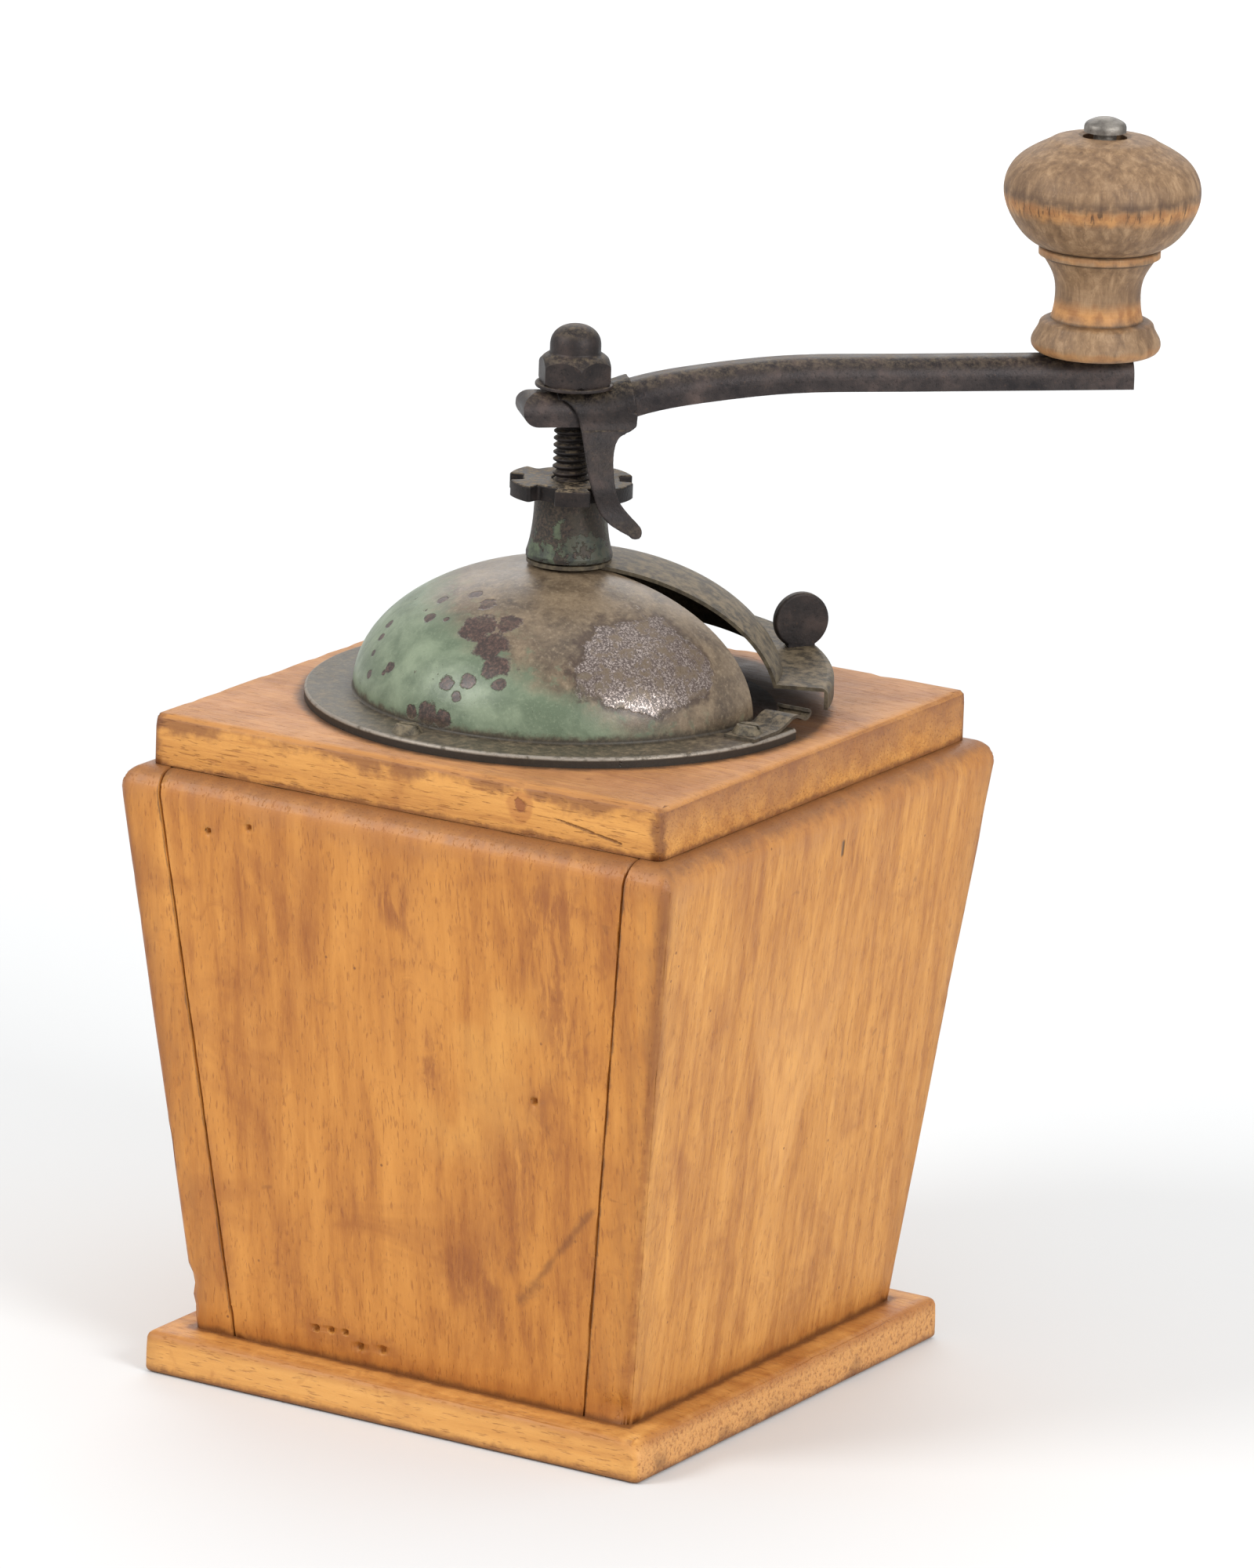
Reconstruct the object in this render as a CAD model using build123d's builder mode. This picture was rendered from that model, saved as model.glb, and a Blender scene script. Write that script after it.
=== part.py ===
from build123d import *
from math import atan, cos, degrees, radians, sin, sqrt
import os

# A box coffee mill: a wooden case that widens upwards, with a drawer at the bottom, a domed sheet
# hopper with a turning shutter on top, a conical burr mill hung inside, and a crank on its spindle.
# Millimetres, +Z up, origin at the centre of the underside of the base board.
# The drawer is in the +Y side. "u" is the direction of the crank arm, "v" is square to it.

# ---------------------------------------------------------------- driving dimensions
# wooden case
base_width = 124.0
base_thickness = 9.2
base_round = 2.0
body_width_low = 109.0
body_width_high = 136.7
body_height = 124.8
board = 10.5                 # case wall, measured horizontally
top_width = 124.9
top_thickness = 10.9
ledge_round = 5.0
corner_round = 2.2
seam = 0.35                  # open joint beside the let-in panels
top_hole_radius = 35.0
base_screw_head_radius = 3.35
base_screw_head_height = 2.2
base_screw_radius = 1.45
base_screw_length = 26.0
base_screw_spread = 30.0     # along Y, either side of the middle

# drawer
drawer_top = 61.0
drawer_gap = 0.4
drawer_wall = 5.0
drawer_floor = 3.0
drawer_box_height = 44.0
nail_radius = 0.6
nail_head_radius = 1.5
nail_length = 14.0
drawer_knob_height = 34.0
drawer_knob_foot_radius = 7.2
drawer_knob_foot = 1.6
drawer_knob_waist_radius = 4.8
drawer_knob_radius = 9.4
drawer_knob_length = 19.8
drawer_screw_radius = 1.75
drawer_screw_head_radius = 3.6
drawer_screw_head_height = 1.8

# sheet-metal hopper
sheet = 0.9
flange_radius = 55.0
flange_height = 2.3          # the flange's top above the wooden top
dome_radius = 44.8
dome_rise = 27.3
dome_foot = 0.6              # height of the dome's equator above the flange
foot_fillet = 0.55           # where the dome meets the flange
crown_radius = 10.5
opening_start = 3.6          # degrees about +Z from +X
opening_end = 112.0
screw_circle = 50.2
flange_screw_azimuths = (-98.6, 128.0, 171.4)
stop_azimuth = -8.6
stop_width = 7.5
stop_sheet = 0.7
stop_reach = 46.6            # the stop's inner edge, along X
sheet_screw_radius = 1.5
sheet_screw_head_radius = 3.3
sheet_screw_length = 12.0

# shutter
shutter_start = 21.6         # direction of the near edge
shutter_end = 120.0
edge_offset = 3.4            # the near edge passes this far in front of the axis
shutter_sheet = 0.8
shutter_gap = 0.7            # beside the dome; less above its crown
shutter_top_gap = 0.35
brim_height = 7.7            # the brim's top above the wooden top
brim_radius = 56.6
skirt_depth = 4.7
shutter_tilt = 3.0
eye_outer = 9.0
eye_inner = 6.75
tab_angle = 52.0
tab_radius = 6.1
tab_reach = 53.0
tab_thickness = 2.2
tab_foot_width = 6.0
tab_foot_height = 1.4

# spindle line
spindle_radius = 4.0
thread_pitch = 1.5
thread_depth = 0.8
journal_radius = 3.0
stub_radius = 2.7            # threaded end in the cap nut
running_gap = 0.05
neck_low_radius = 9.15
neck_high_radius = 7.65
nut_radius = 13.35
nut_root_radius = 10.2
nut_thickness = 3.3
notch_angle = 26.0
lobe_azimuth = -56.8
cap_across_flats = 14.0
cap_dome_radius = 5.4

# crank
arm_azimuth = 42.0
arm_length = 111.6           # spindle axis to knob axis
arm_overhang = 7.5
arm_tail = 11.5
arm_width = 10.6
arm_depth = 6.7
arm_sheet = 1.2
arm_root_z = 212.1
arm_rise = 7.0
clip_sheet = 1.0
clip_split_z = 204.5

# burr mill
housing_wall = 3.0
chamber_radius = 20.0
chamber_low = 82.0
chamber_high = 106.0
burr_gap = 0.8
burr_pin_radius = 1.5
burr_pin_length = 25.0
burr_pin_z = 90.0
ring_top_radius = 13.2
ring_low_radius = 17.6
ring_throat = 8.0            # depth of the outer burr's mouth
ring_teeth = 18
ring_groove = 1.4
cone_high_radius = 8.4
cone_ridges = 12
cone_groove = 1.6
funnel_radius = 48.0
funnel_flange = 4.0
funnel_screw_circle = 42.5
bridge_reach = 42.0
bridge_width = 10.0
bridge_thickness = 3.0
bridge_hub_radius = 8.0
bridge_z = 66.0              # underside of the lower bridge
lower_bridge_reach = 32.5
lower_bridge_width = 12.0
lower_hub_radius = 6.8
ear_screw_reach = 29.0

# crank knob
knob_foot_radius = 12.0
knob_foot_bead_radius = 13.7
knob_waist_radius = 9.1
knob_collar_radius = 12.9
knob_bulb_radius = 20.8
knob_collar_height = 20.5
knob_height = 46.5
knob_bore = 2.55
knob_pin_radius = 2.45
knob_pin_head_radius = 4.5
knob_washer_radius = 5.0
knob_washer_thickness = 0.4

# ---------------------------------------------------------------- derived levels
body_z = base_thickness
top_z = body_z + body_height
lid_z = top_z + top_thickness
lean = (body_width_high - body_width_low) / 2 / body_height
flange_z = lid_z + flange_height
equator_z = flange_z + dome_foot
crown_z = equator_z + dome_rise
brim_z = lid_z + brim_height
neck_foot_z = crown_z + 1.5
nut_z = 190.1
clip_z = arm_root_z + clip_sheet
washer_thickness = 0.8
cap_z = clip_z + washer_thickness
cap_top_z = cap_z + 12.5
thread_top_z = 207.0
cone_low_radius = ring_low_radius - burr_gap
cone_low = chamber_low - 0.5
cone_high = chamber_high + 4.0
ear_z = chamber_low - 2.0    # underside of the housing
square_hole = 5.6            # over the spindle's 5.5 square
arm_top_z = arm_root_z + arm_rise
knob_z = arm_top_z + 0.5


def outer_half(z):
    """Half the outside width of the case at height z."""
    return body_width_low / 2 + lean * (z - body_z)


def inner_half(z):
    """Half the inside width of the case at height z."""
    return outer_half(z) - board


base_screw_reach = inner_half(body_z) + board / 2
near_edge = radians(shutter_start)


def save(piece, name):
    """Label a finished piece and write its STEP file."""
    piece.label = name
    export_step(piece, f"parts/{name}.step")


def upright(azimuth, x=0.0, y=0.0):
    """An upright plane through (x, y): local x points along the azimuth, local y points up."""
    a = radians(azimuth)
    return Plane(origin=(x, y, 0), x_dir=(cos(a), sin(a), 0), z_dir=(sin(a), -cos(a), 0))


def around(radius, azimuth, z):
    """A point at a height, on a circle about the mill's axis."""
    a = radians(azimuth)
    return Vector(radius * cos(a), radius * sin(a), z)


def wood_screws(places, head_radius, shank_radius, length, head_height=1.6, slot=0.7):
    """A set of slotted round-head screws whose heads sit on the given planes."""
    with BuildPart() as screws:
        for place in places:
            with BuildSketch(place):
                Circle(head_radius)
            extrude(amount=head_height, taper=32)
            with BuildSketch(place):
                Circle(shank_radius)
            extrude(amount=-length)
            with BuildSketch(place.offset(head_height)):
                Rectangle(2 * head_radius, slot)
            extrude(amount=-slot, mode=Mode.SUBTRACT)
    return screws.part


os.makedirs("parts", exist_ok=True)

# ---------------------------------------------------------------- wooden case
base_screw_places = [(x, y) for x in (-base_screw_reach, base_screw_reach)
                     for y in (-base_screw_spread, base_screw_spread)]
with BuildPart() as base_board:
    with BuildSketch():
        RectangleRounded(base_width, base_width, 1.6)
    extrude(amount=base_thickness)
    fillet(base_board.edges().group_by(Axis.Z)[-1], base_round)
    fillet(base_board.edges().group_by(Axis.Z)[0], 1.0)
    with Locations(Plane.XY.rotated((180, 0, 0))):
        with Locations(*base_screw_places):
            CounterSinkHole(base_screw_radius + 0.05, base_screw_head_radius + 0.15, depth=base_thickness,
                            counter_sink_angle=80)
save(base_board.part, "base_board")

# the closed pyramid that the four walls and the drawer front are cut from: two wall profiles with
# rounded top corners, drawn from the side and crossed, with its four corner edges rounded after
with BuildPart() as body:
    for side_plane, mode in ((Plane.XZ, Mode.ADD), (Plane.YZ, Mode.INTERSECT)):
        with BuildSketch(side_plane):
            with BuildLine():
                Polyline((-body_width_low / 2, body_z), (-body_width_high / 2, top_z),
                         (body_width_high / 2, top_z), (body_width_low / 2, body_z), close=True)
            make_face()
            fillet(vertices().group_by(Axis.Y)[-1], ledge_round)
        extrude(amount=body_width_high, both=True, mode=mode)
    slanted = [e for e in body.edges().filter_by(GeomType.LINE) if e.length > body_height * 0.9
               and abs(e.tangent_at(0.5).Z) > 0.5]
    fillet(slanted, corner_round)


def wall_plane(direction, inset):
    """The plane of the case's inside face on one side, moved inwards by inset."""
    x, y = direction
    reach = inner_half(body_z) - inset
    return Plane(origin=(x * reach, y * reach, body_z), z_dir=(x, y, -lean))


sides = {"left": (-1, 0), "right": (1, 0)}
for side, direction in sides.items():
    with BuildPart() as side_board:
        add(body.part)
        split(bisect_by=wall_plane(direction, 0), keep=Keep.TOP)
    save(side_board.part, f"side_board_{side}")


def let_in_wall(direction, gap):
    """A wall that fits between the two side boards, with a gap at each of them."""
    with BuildPart() as wall:
        add(body.part)
        split(bisect_by=wall_plane(direction, 0), keep=Keep.TOP)
        for side_direction in sides.values():
            split(bisect_by=wall_plane(side_direction, gap), keep=Keep.BOTTOM)
    return wall.part


save(let_in_wall((0, -1), seam), "back_panel")

with BuildPart() as front_panel:
    add(let_in_wall((0, 1), seam))
    split(bisect_by=Plane.XY.offset(drawer_top + drawer_gap), keep=Keep.TOP)
save(front_panel.part, "front_panel")

with BuildPart() as top_board:
    with BuildSketch(Plane.XY.offset(top_z)):
        Rectangle(top_width, top_width)
        Circle(top_hole_radius, mode=Mode.SUBTRACT)
    extrude(amount=top_thickness)
    rim = top_board.edges().filter_by(GeomType.LINE)
    fillet(rim.filter_by(Axis.Z), 1.5)
    chamfer(top_board.edges().filter_by(GeomType.LINE).group_by(Axis.Z)[-1], 0.7)
save(top_board.part, "top_board")

with BuildPart() as base_screws:
    for x, y in base_screw_places:
        head_plane = Plane(origin=(x, y, 0.1))
        with BuildSketch(head_plane):
            Circle(base_screw_head_radius)
        extrude(amount=base_screw_head_height, taper=40)
        with BuildSketch(head_plane):
            Circle(base_screw_radius)
        extrude(amount=base_screw_length)
        with BuildSketch(head_plane):
            Rectangle(2 * base_screw_head_radius + 0.3, 0.8)
        extrude(amount=0.7, mode=Mode.SUBTRACT)
save(base_screws.part, "base_screws")

# ---------------------------------------------------------------- drawer
drawer_z = body_z + 0.3
drawer_half = inner_half(body_z) - 0.7
drawer_back_y = -(inner_half(body_z) - 0.5)
front_face = wall_plane((0, 1), 0)

with BuildPart() as drawer_front:
    add(let_in_wall((0, 1), drawer_gap))
    split(bisect_by=Plane.XY.offset(drawer_top), keep=Keep.BOTTOM)
    split(bisect_by=Plane.XY.offset(drawer_z), keep=Keep.TOP)
save(drawer_front.part, "drawer_front")

for side, (sign, _) in sides.items():
    with BuildPart() as drawer_side:
        with BuildSketch(Plane.XY.offset(drawer_z)):
            with Locations((sign * (drawer_half - drawer_wall / 2), 0)):
                Rectangle(drawer_wall, 2 * outer_half(drawer_top))
        extrude(amount=drawer_box_height)
        split(bisect_by=front_face, keep=Keep.BOTTOM)
        split(bisect_by=Plane(origin=(0, drawer_back_y, 0), z_dir=(0, 1, 0)), keep=Keep.TOP)
    save(drawer_side.part, f"drawer_side_{side}")

with BuildPart() as drawer_bottom:
    with BuildSketch(Plane.XY.offset(drawer_z)):
        Rectangle(2 * (drawer_half - drawer_wall), 2 * outer_half(drawer_top))
    extrude(amount=drawer_floor)
    split(bisect_by=front_face, keep=Keep.BOTTOM)
    split(bisect_by=Plane(origin=(0, drawer_back_y, 0), z_dir=(0, 1, 0)), keep=Keep.TOP)
save(drawer_bottom.part, "drawer_bottom")

with BuildPart() as drawer_back:
    with BuildSketch(Plane.XY.offset(drawer_z + drawer_floor)):
        with Locations((0, drawer_back_y + drawer_wall / 2)):
            Rectangle(2 * (drawer_half - drawer_wall), drawer_wall)
    extrude(amount=drawer_box_height - drawer_floor)
save(drawer_back.part, "drawer_back")

nail_heights = (drawer_z + 12, drawer_z + 34)
with BuildPart() as drawer_nails:
    for sign in (-1, 1):
        for z in nail_heights:
            nail_plane = Plane(origin=(sign * (drawer_half + 0.1), drawer_back_y + drawer_wall / 2, z),
                               z_dir=(-sign, 0, 0))
            with BuildSketch(nail_plane):
                Circle(nail_head_radius)
            extrude(amount=0.6)
            with BuildSketch(nail_plane):
                Circle(nail_radius)
            extrude(amount=nail_length)
save(drawer_nails.part, "drawer_nails")

# a plane on the drawer front's outside face, its normal pointing out of the face
knob_plane = Plane(origin=(0, outer_half(drawer_knob_height), drawer_knob_height), x_dir=(1, 0, 0),
                   z_dir=(0, 1, -lean))
knob_profile_plane = Plane(origin=knob_plane.origin, x_dir=(1, 0, 0),
                           z_dir=Vector(1, 0, 0).cross(knob_plane.z_dir))
knob_axis = Axis(knob_plane.origin, knob_plane.z_dir)
with BuildPart() as drawer_knob:
    with BuildSketch(knob_profile_plane):
        with BuildLine():
            Polyline((0, 0), (drawer_knob_foot_radius, 0), (drawer_knob_foot_radius, drawer_knob_foot))
            Spline((drawer_knob_foot_radius, drawer_knob_foot), (drawer_knob_waist_radius, 5.0), (5.6, 8.0),
                   (drawer_knob_radius, 12.5), (8.2, 17.0), (4.0, 19.2), (0, drawer_knob_length),
                   tangents=[(-1, 1), (-1, 0)])
            Line((0, drawer_knob_length), (0, 0))
        make_face()
    revolve(axis=knob_axis)
    with Locations(knob_plane):
        Hole(drawer_screw_radius + 0.05, depth=10)
save(drawer_knob.part, "drawer_knob")

with BuildPart() as drawer_knob_screw:
    with BuildSketch(knob_plane.offset(-board)):
        Circle(drawer_screw_head_radius)
    extrude(amount=-drawer_screw_head_height, taper=25)
    with BuildSketch(knob_plane.offset(-board)):
        Circle(drawer_screw_radius)
    extrude(amount=board + 9.5)
    with BuildSketch(knob_plane.offset(-board - drawer_screw_head_height)):
        Rectangle(8, 0.8)
    extrude(amount=0.8, mode=Mode.SUBTRACT)
save(drawer_knob_screw.part, "drawer_knob_screw")


# ---------------------------------------------------------------- hopper
def sector_cut(inner_radius, start, end, low, high, outer=80.0, apex=(0.0, 0.0)):
    """A solid that removes everything between two directions from an apex, outside a radius."""
    with BuildPart() as cut:
        with BuildSketch(Plane.XY.offset(low)):
            with BuildLine():
                PolarLine(apex, outer, start)
                CenterArc(apex, outer, start, end - start)
                PolarLine(apex, outer, end)
            make_face()
            Circle(inner_radius, mode=Mode.SUBTRACT)
        extrude(amount=high - low)
    return cut.part


def dome_radii(side_gap, top_gap, thickness):
    """The ellipse radii of the outside and the inside of a dome sheet that stands off the dome."""
    inside = (dome_radius + side_gap, dome_rise + top_gap)
    outside = (inside[0] + thickness, inside[1] + thickness)
    return outside, inside


with BuildPart() as hopper_dome:
    with BuildSketch(Plane.XZ):
        (out_a, out_b), (in_a, in_b) = dome_radii(-sheet, -sheet, sheet)
        with BuildLine():
            EllipticalCenterArc((0, equator_z), out_a, out_b, 0, arc_size=90)
            Line((0, crown_z), (0, crown_z - sheet))
            EllipticalCenterArc((0, equator_z), in_a, in_b, 0, arc_size=90)
            Polyline((in_a, equator_z), (in_a, flange_z - sheet), (flange_radius - sheet, flange_z - sheet),
                     (flange_radius - sheet, lid_z), (flange_radius, lid_z), (flange_radius, flange_z),
                     (out_a, flange_z), (out_a, equator_z))
        make_face()
    revolve(axis=Axis.Z)
    foot = [e for e in hopper_dome.edges().filter_by(GeomType.CIRCLE)
            if abs(e.radius - dome_radius) < 0.01 and abs(e.center().Z - flange_z) < 0.01]
    fillet(foot, foot_fillet)
    rim_edge = [e for e in hopper_dome.edges().filter_by(GeomType.CIRCLE)
                if abs(e.radius - flange_radius) < 0.01 and abs(e.center().Z - flange_z) < 0.01]
    fillet(rim_edge, 0.7)
    add(sector_cut(crown_radius, opening_start, opening_end, lid_z - 1, crown_z + 2), mode=Mode.SUBTRACT)
    with Locations((0, 0, crown_z)):
        Hole(5.6, depth=6)
    for azimuth in (stop_azimuth, *flange_screw_azimuths):
        with Locations(Location(around(screw_circle, azimuth, flange_z))):
            Hole(sheet_screw_radius + 0.1, depth=2)
save(hopper_dome.part, "hopper_dome")

# the neck: a turned bearing bush, spigoted through the crown and belled over below it
with BuildPart() as hopper_neck:
    with BuildSketch(Plane.XZ):
        with BuildLine():
            Polyline((spindle_radius + running_gap, crown_z - 2.9), (7.4, crown_z - 2.9),
                     (7.4, crown_z - 1.55), (5.55, crown_z - 1.55), (5.55, crown_z + 0.05),
                     (6.5, crown_z + 0.05), (6.5, neck_foot_z), (neck_low_radius, neck_foot_z),
                     (neck_low_radius, neck_foot_z + 0.9))
            Spline((neck_low_radius, neck_foot_z + 0.9), (neck_high_radius + 0.35, neck_foot_z + 6.5),
                   (neck_high_radius, nut_z - 0.6), tangents=[(-0.35, 1), (0, 1)])
            Polyline((neck_high_radius, nut_z - 0.6), (neck_high_radius - 0.55, nut_z - 0.05),
                     (spindle_radius + running_gap, nut_z - 0.05),
                     (spindle_radius + running_gap, crown_z - 2.9))
        make_face()
    revolve(axis=Axis.Z)
save(hopper_neck.part, "hopper_neck")

screw_places = [Plane(origin=around(screw_circle, a, flange_z)) for a in flange_screw_azimuths]
screw_places.append(Plane(origin=around(screw_circle, stop_azimuth, flange_z + stop_sheet)))
flange_screws = wood_screws(screw_places, sheet_screw_head_radius, sheet_screw_radius, sheet_screw_length)
save(flange_screws, "flange_screws")

# the stop: a waved leaf of sheet under one flange screw, whose free end the shutter's brim runs over
stop_plane = Plane(origin=(stop_reach, 0, 0), x_dir=(0, 1, 0), z_dir=(1, 0, 0))
with BuildPart() as shutter_stop:
    with BuildSketch(stop_plane):
        with BuildLine():
            Line((-12.0, flange_z + stop_sheet / 2), (-4.0, flange_z + stop_sheet / 2))
            Spline((-4.0, flange_z + stop_sheet / 2), (1.0, flange_z + 1.3), (4.0, flange_z + 2.2),
                   (7.0, flange_z + 1.55), (9.6, flange_z + 1.0), (10.6, flange_z + 1.9),
                   (9.4, flange_z + 2.6), tangents=[(1, 0), (-1, 0.1)])
        trace(line_width=stop_sheet)
    extrude(amount=stop_width)
    with Locations(Location(around(screw_circle, stop_azimuth, flange_z + stop_sheet))):
        Hole(sheet_screw_radius + 0.1, depth=2 * stop_sheet)
save(shutter_stop.part, "shutter_stop")

# the shutter: an eye round the neck, a dome sector over the opening, a brim and a turned-down skirt
with BuildPart() as shutter_shell:
    with BuildSketch(Plane.XZ):
        (out_a, out_b), (in_a, in_b) = dome_radii(shutter_gap, shutter_top_gap, shutter_sheet)
        brim_under_z = brim_z - shutter_sheet
        out_r = out_a * sqrt(1 - ((brim_z - equator_z) / out_b) ** 2)
        in_r = in_a * sqrt(1 - ((brim_under_z - equator_z) / in_b) ** 2)
        out_angle = degrees(atan((brim_z - equator_z) / out_b / (out_r / out_a)))
        in_angle = degrees(atan((brim_under_z - equator_z) / in_b / (in_r / in_a)))
        with BuildLine():
            EllipticalCenterArc((0, equator_z), out_a, out_b, out_angle, arc_size=90 - out_angle)
            Line((0, equator_z + out_b), (0, equator_z + in_b))
            EllipticalCenterArc((0, equator_z), in_a, in_b, in_angle, arc_size=90 - in_angle)
            Polyline((in_r, brim_under_z), (brim_radius - shutter_sheet, brim_under_z),
                     (brim_radius - shutter_sheet, brim_z - skirt_depth), (brim_radius, brim_z - skirt_depth),
                     (brim_radius, brim_z), (out_r, brim_z))
        make_face()
    revolve(axis=Axis.Z)
    outer_rim = [e for e in shutter_shell.edges().filter_by(GeomType.CIRCLE)
                 if abs(e.radius - brim_radius) < 0.01 and abs(e.center().Z - brim_z) < 0.01]
    fillet(outer_rim, 1.6)
    add(sector_cut(0.01, shutter_end, shutter_start + 360, brim_z - 10, crown_z + 5,
                   apex=(edge_offset * sin(near_edge), -edge_offset * cos(near_edge))), mode=Mode.SUBTRACT)
    with Locations((0, 0, crown_z + 4)):
        Hole(eye_outer - 0.8, depth=8)

# the sector stands a little askew, lifted at its far end about the line of its near edge
tilt_axis = Axis((0, 0, crown_z), (cos(near_edge), sin(near_edge), 0))
tilted_shell = shutter_shell.part.rotate(tilt_axis, shutter_tilt)

with BuildPart() as shutter:
    add(tilted_shell)
    with BuildSketch(Plane.XY.offset(crown_z + 0.25)):
        Circle(eye_outer)
        Circle(eye_inner, mode=Mode.SUBTRACT)
    extrude(amount=shutter_sheet)
save(shutter.part, "shutter")

# the thumb tab: a round upright disc on a short foot, riveted through the brim
tab_lift = tab_reach * sin(radians(tab_angle) - near_edge) * sin(radians(shutter_tilt))
tab_foot_z = brim_z + tab_lift - 0.6
with BuildPart() as thumb_tab:
    with BuildSketch(upright(tab_angle)):
        with Locations((tab_reach, tab_foot_z + tab_radius)):
            Circle(tab_radius)
        with Locations((tab_reach, tab_foot_z + tab_foot_height / 2)):
            Rectangle(tab_foot_width, tab_foot_height)
    extrude(amount=tab_thickness / 2, both=True)
    fillet(thumb_tab.edges().filter_by(GeomType.CIRCLE), 0.6)
save(thumb_tab.part, "thumb_tab")

# ---------------------------------------------------------------- burr mill
with BuildPart() as mill_housing:
    with BuildSketch(Plane.XZ):
        with BuildLine():
            Polyline((top_hole_radius, top_z), (funnel_radius, top_z), (funnel_radius, top_z - funnel_flange),
                     (37.0, top_z - funnel_flange), (26.0, 112.0), (chamber_radius + housing_wall, 104.0),
                     (chamber_radius + housing_wall, ear_z), (chamber_radius, ear_z),
                     (chamber_radius, chamber_high), (16.5, chamber_high + 2.0), close=True)
        make_face()
    revolve(axis=Axis.Z)
    for azimuth in (0, 180):
        with BuildSketch(Plane.XY.offset(ear_z)):
            with PolarLocations(chamber_radius + 7.5, 1, azimuth):
                Rectangle(10.0, lower_bridge_width)
        extrude(amount=8.0)
    with BuildSketch(Plane.XY.offset(chamber_low - 3)):
        Circle(chamber_radius)
    extrude(amount=20, mode=Mode.SUBTRACT)
    with BuildSketch(Plane.XY.offset(top_z)):
        SlotOverall(2 * bridge_reach + 0.2, bridge_width + 0.2)
    extrude(amount=-bridge_thickness, mode=Mode.SUBTRACT)
    with Locations(Location((0, 0, top_z - funnel_flange), (180, 0, 0))):
        with PolarLocations(funnel_screw_circle, 4, 45):
            Hole(1.8, depth=5)
    with Locations(Location((0, 0, ear_z), (180, 0, 0))):
        with PolarLocations(ear_screw_reach, 2, 0):
            Hole(1.5, depth=7)
save(mill_housing.part, "mill_housing")

housing_screw_places = [Plane(origin=around(funnel_screw_circle, a, top_z - funnel_flange), z_dir=(0, 0, -1))
                        for a in (45, 135, 225, 315)]
save(wood_screws(housing_screw_places, 3.4, 1.7, 12.0), "housing_screws")

# the outer burr: a hard ring with a conical mouth and slanting teeth, pressed into the housing
with BuildPart() as outer_burr:
    with BuildSketch(Plane.XZ):
        with BuildLine():
            Polyline((chamber_radius, chamber_low), (chamber_radius, chamber_high),
                     (ring_top_radius + 2.4, chamber_high), (ring_top_radius, chamber_high - ring_throat),
                     (ring_low_radius, chamber_low), close=True)
        make_face()
    revolve(axis=Axis.Z)
    for tooth in range(ring_teeth):
        groove = upright(tooth * 360 / ring_teeth + 7)
        with BuildSketch(Plane(origin=groove.origin, x_dir=groove.x_dir,
                               z_dir=groove.z_dir.rotate(Axis(groove.origin, groove.x_dir), 12))):
            with BuildLine():
                Polyline((ring_top_radius - 1, chamber_high + 3), (ring_top_radius + 1.0, chamber_high + 3),
                         (ring_top_radius + 0.9, chamber_high - ring_throat),
                         (ring_low_radius + 0.9, chamber_low - 3),
                         (ring_low_radius - 2, chamber_low - 3), close=True)
            make_face()
        extrude(amount=ring_groove / 2, both=True, mode=Mode.SUBTRACT)
save(outer_burr.part, "outer_burr")

# the inner burr: a toothed cone with a hub, cross-pinned on the spindle
with BuildPart() as burr_cone:
    with BuildSketch(Plane.XZ):
        with BuildLine():
            Polyline((spindle_radius, cone_low), (cone_low_radius - 3.0, cone_low),
                     (cone_low_radius, cone_low + 1.5), (12.3, chamber_high - ring_throat),
                     (cone_high_radius, cone_high - 2.0), (cone_high_radius - 2.0, cone_high),
                     (spindle_radius, cone_high), close=True)
        make_face()
    revolve(axis=Axis.Z)
    for ridge in range(cone_ridges):
        groove = upright(ridge * 360 / cone_ridges)
        with BuildSketch(Plane(origin=groove.origin, x_dir=groove.x_dir,
                               z_dir=groove.z_dir.rotate(Axis(groove.origin, groove.x_dir), -14))):
            with BuildLine():
                Polyline((cone_low_radius + 2, cone_low - 3), (cone_low_radius - 1.6, cone_low - 3),
                         (10.9, chamber_high - ring_throat), (cone_high_radius - 1.8, cone_high + 3),
                         (cone_high_radius + 4, cone_high + 3), close=True)
            make_face()
        extrude(amount=cone_groove / 2, both=True, mode=Mode.SUBTRACT)
    with Locations(Location((0, 0, burr_pin_z), (0, 90, 0))):
        Hole(burr_pin_radius)
save(burr_cone.part, "burr_cone")

with BuildPart() as burr_pin:
    with BuildSketch(Plane(origin=(-burr_pin_length / 2, 0, burr_pin_z), z_dir=(1, 0, 0))):
        Circle(burr_pin_radius)
    extrude(amount=burr_pin_length)
    chamfer(burr_pin.edges().filter_by(GeomType.CIRCLE), 0.3)
save(burr_pin.part, "burr_pin")

# bridges that guide the spindle above and below the burrs
with BuildPart() as upper_bridge:
    with BuildSketch(Plane.XY.offset(top_z - bridge_thickness)):
        SlotOverall(2 * bridge_reach, bridge_width)
        Circle(bridge_hub_radius)
    extrude(amount=bridge_thickness)
    with BuildSketch(Plane.XY.offset(top_z - 2 * bridge_thickness)):
        Circle(bridge_hub_radius)
    extrude(amount=8.0)
    with Locations((0, 0, top_z + 2.0)):
        Hole(spindle_radius + running_gap, depth=10)
save(upper_bridge.part, "upper_bridge")

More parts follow.
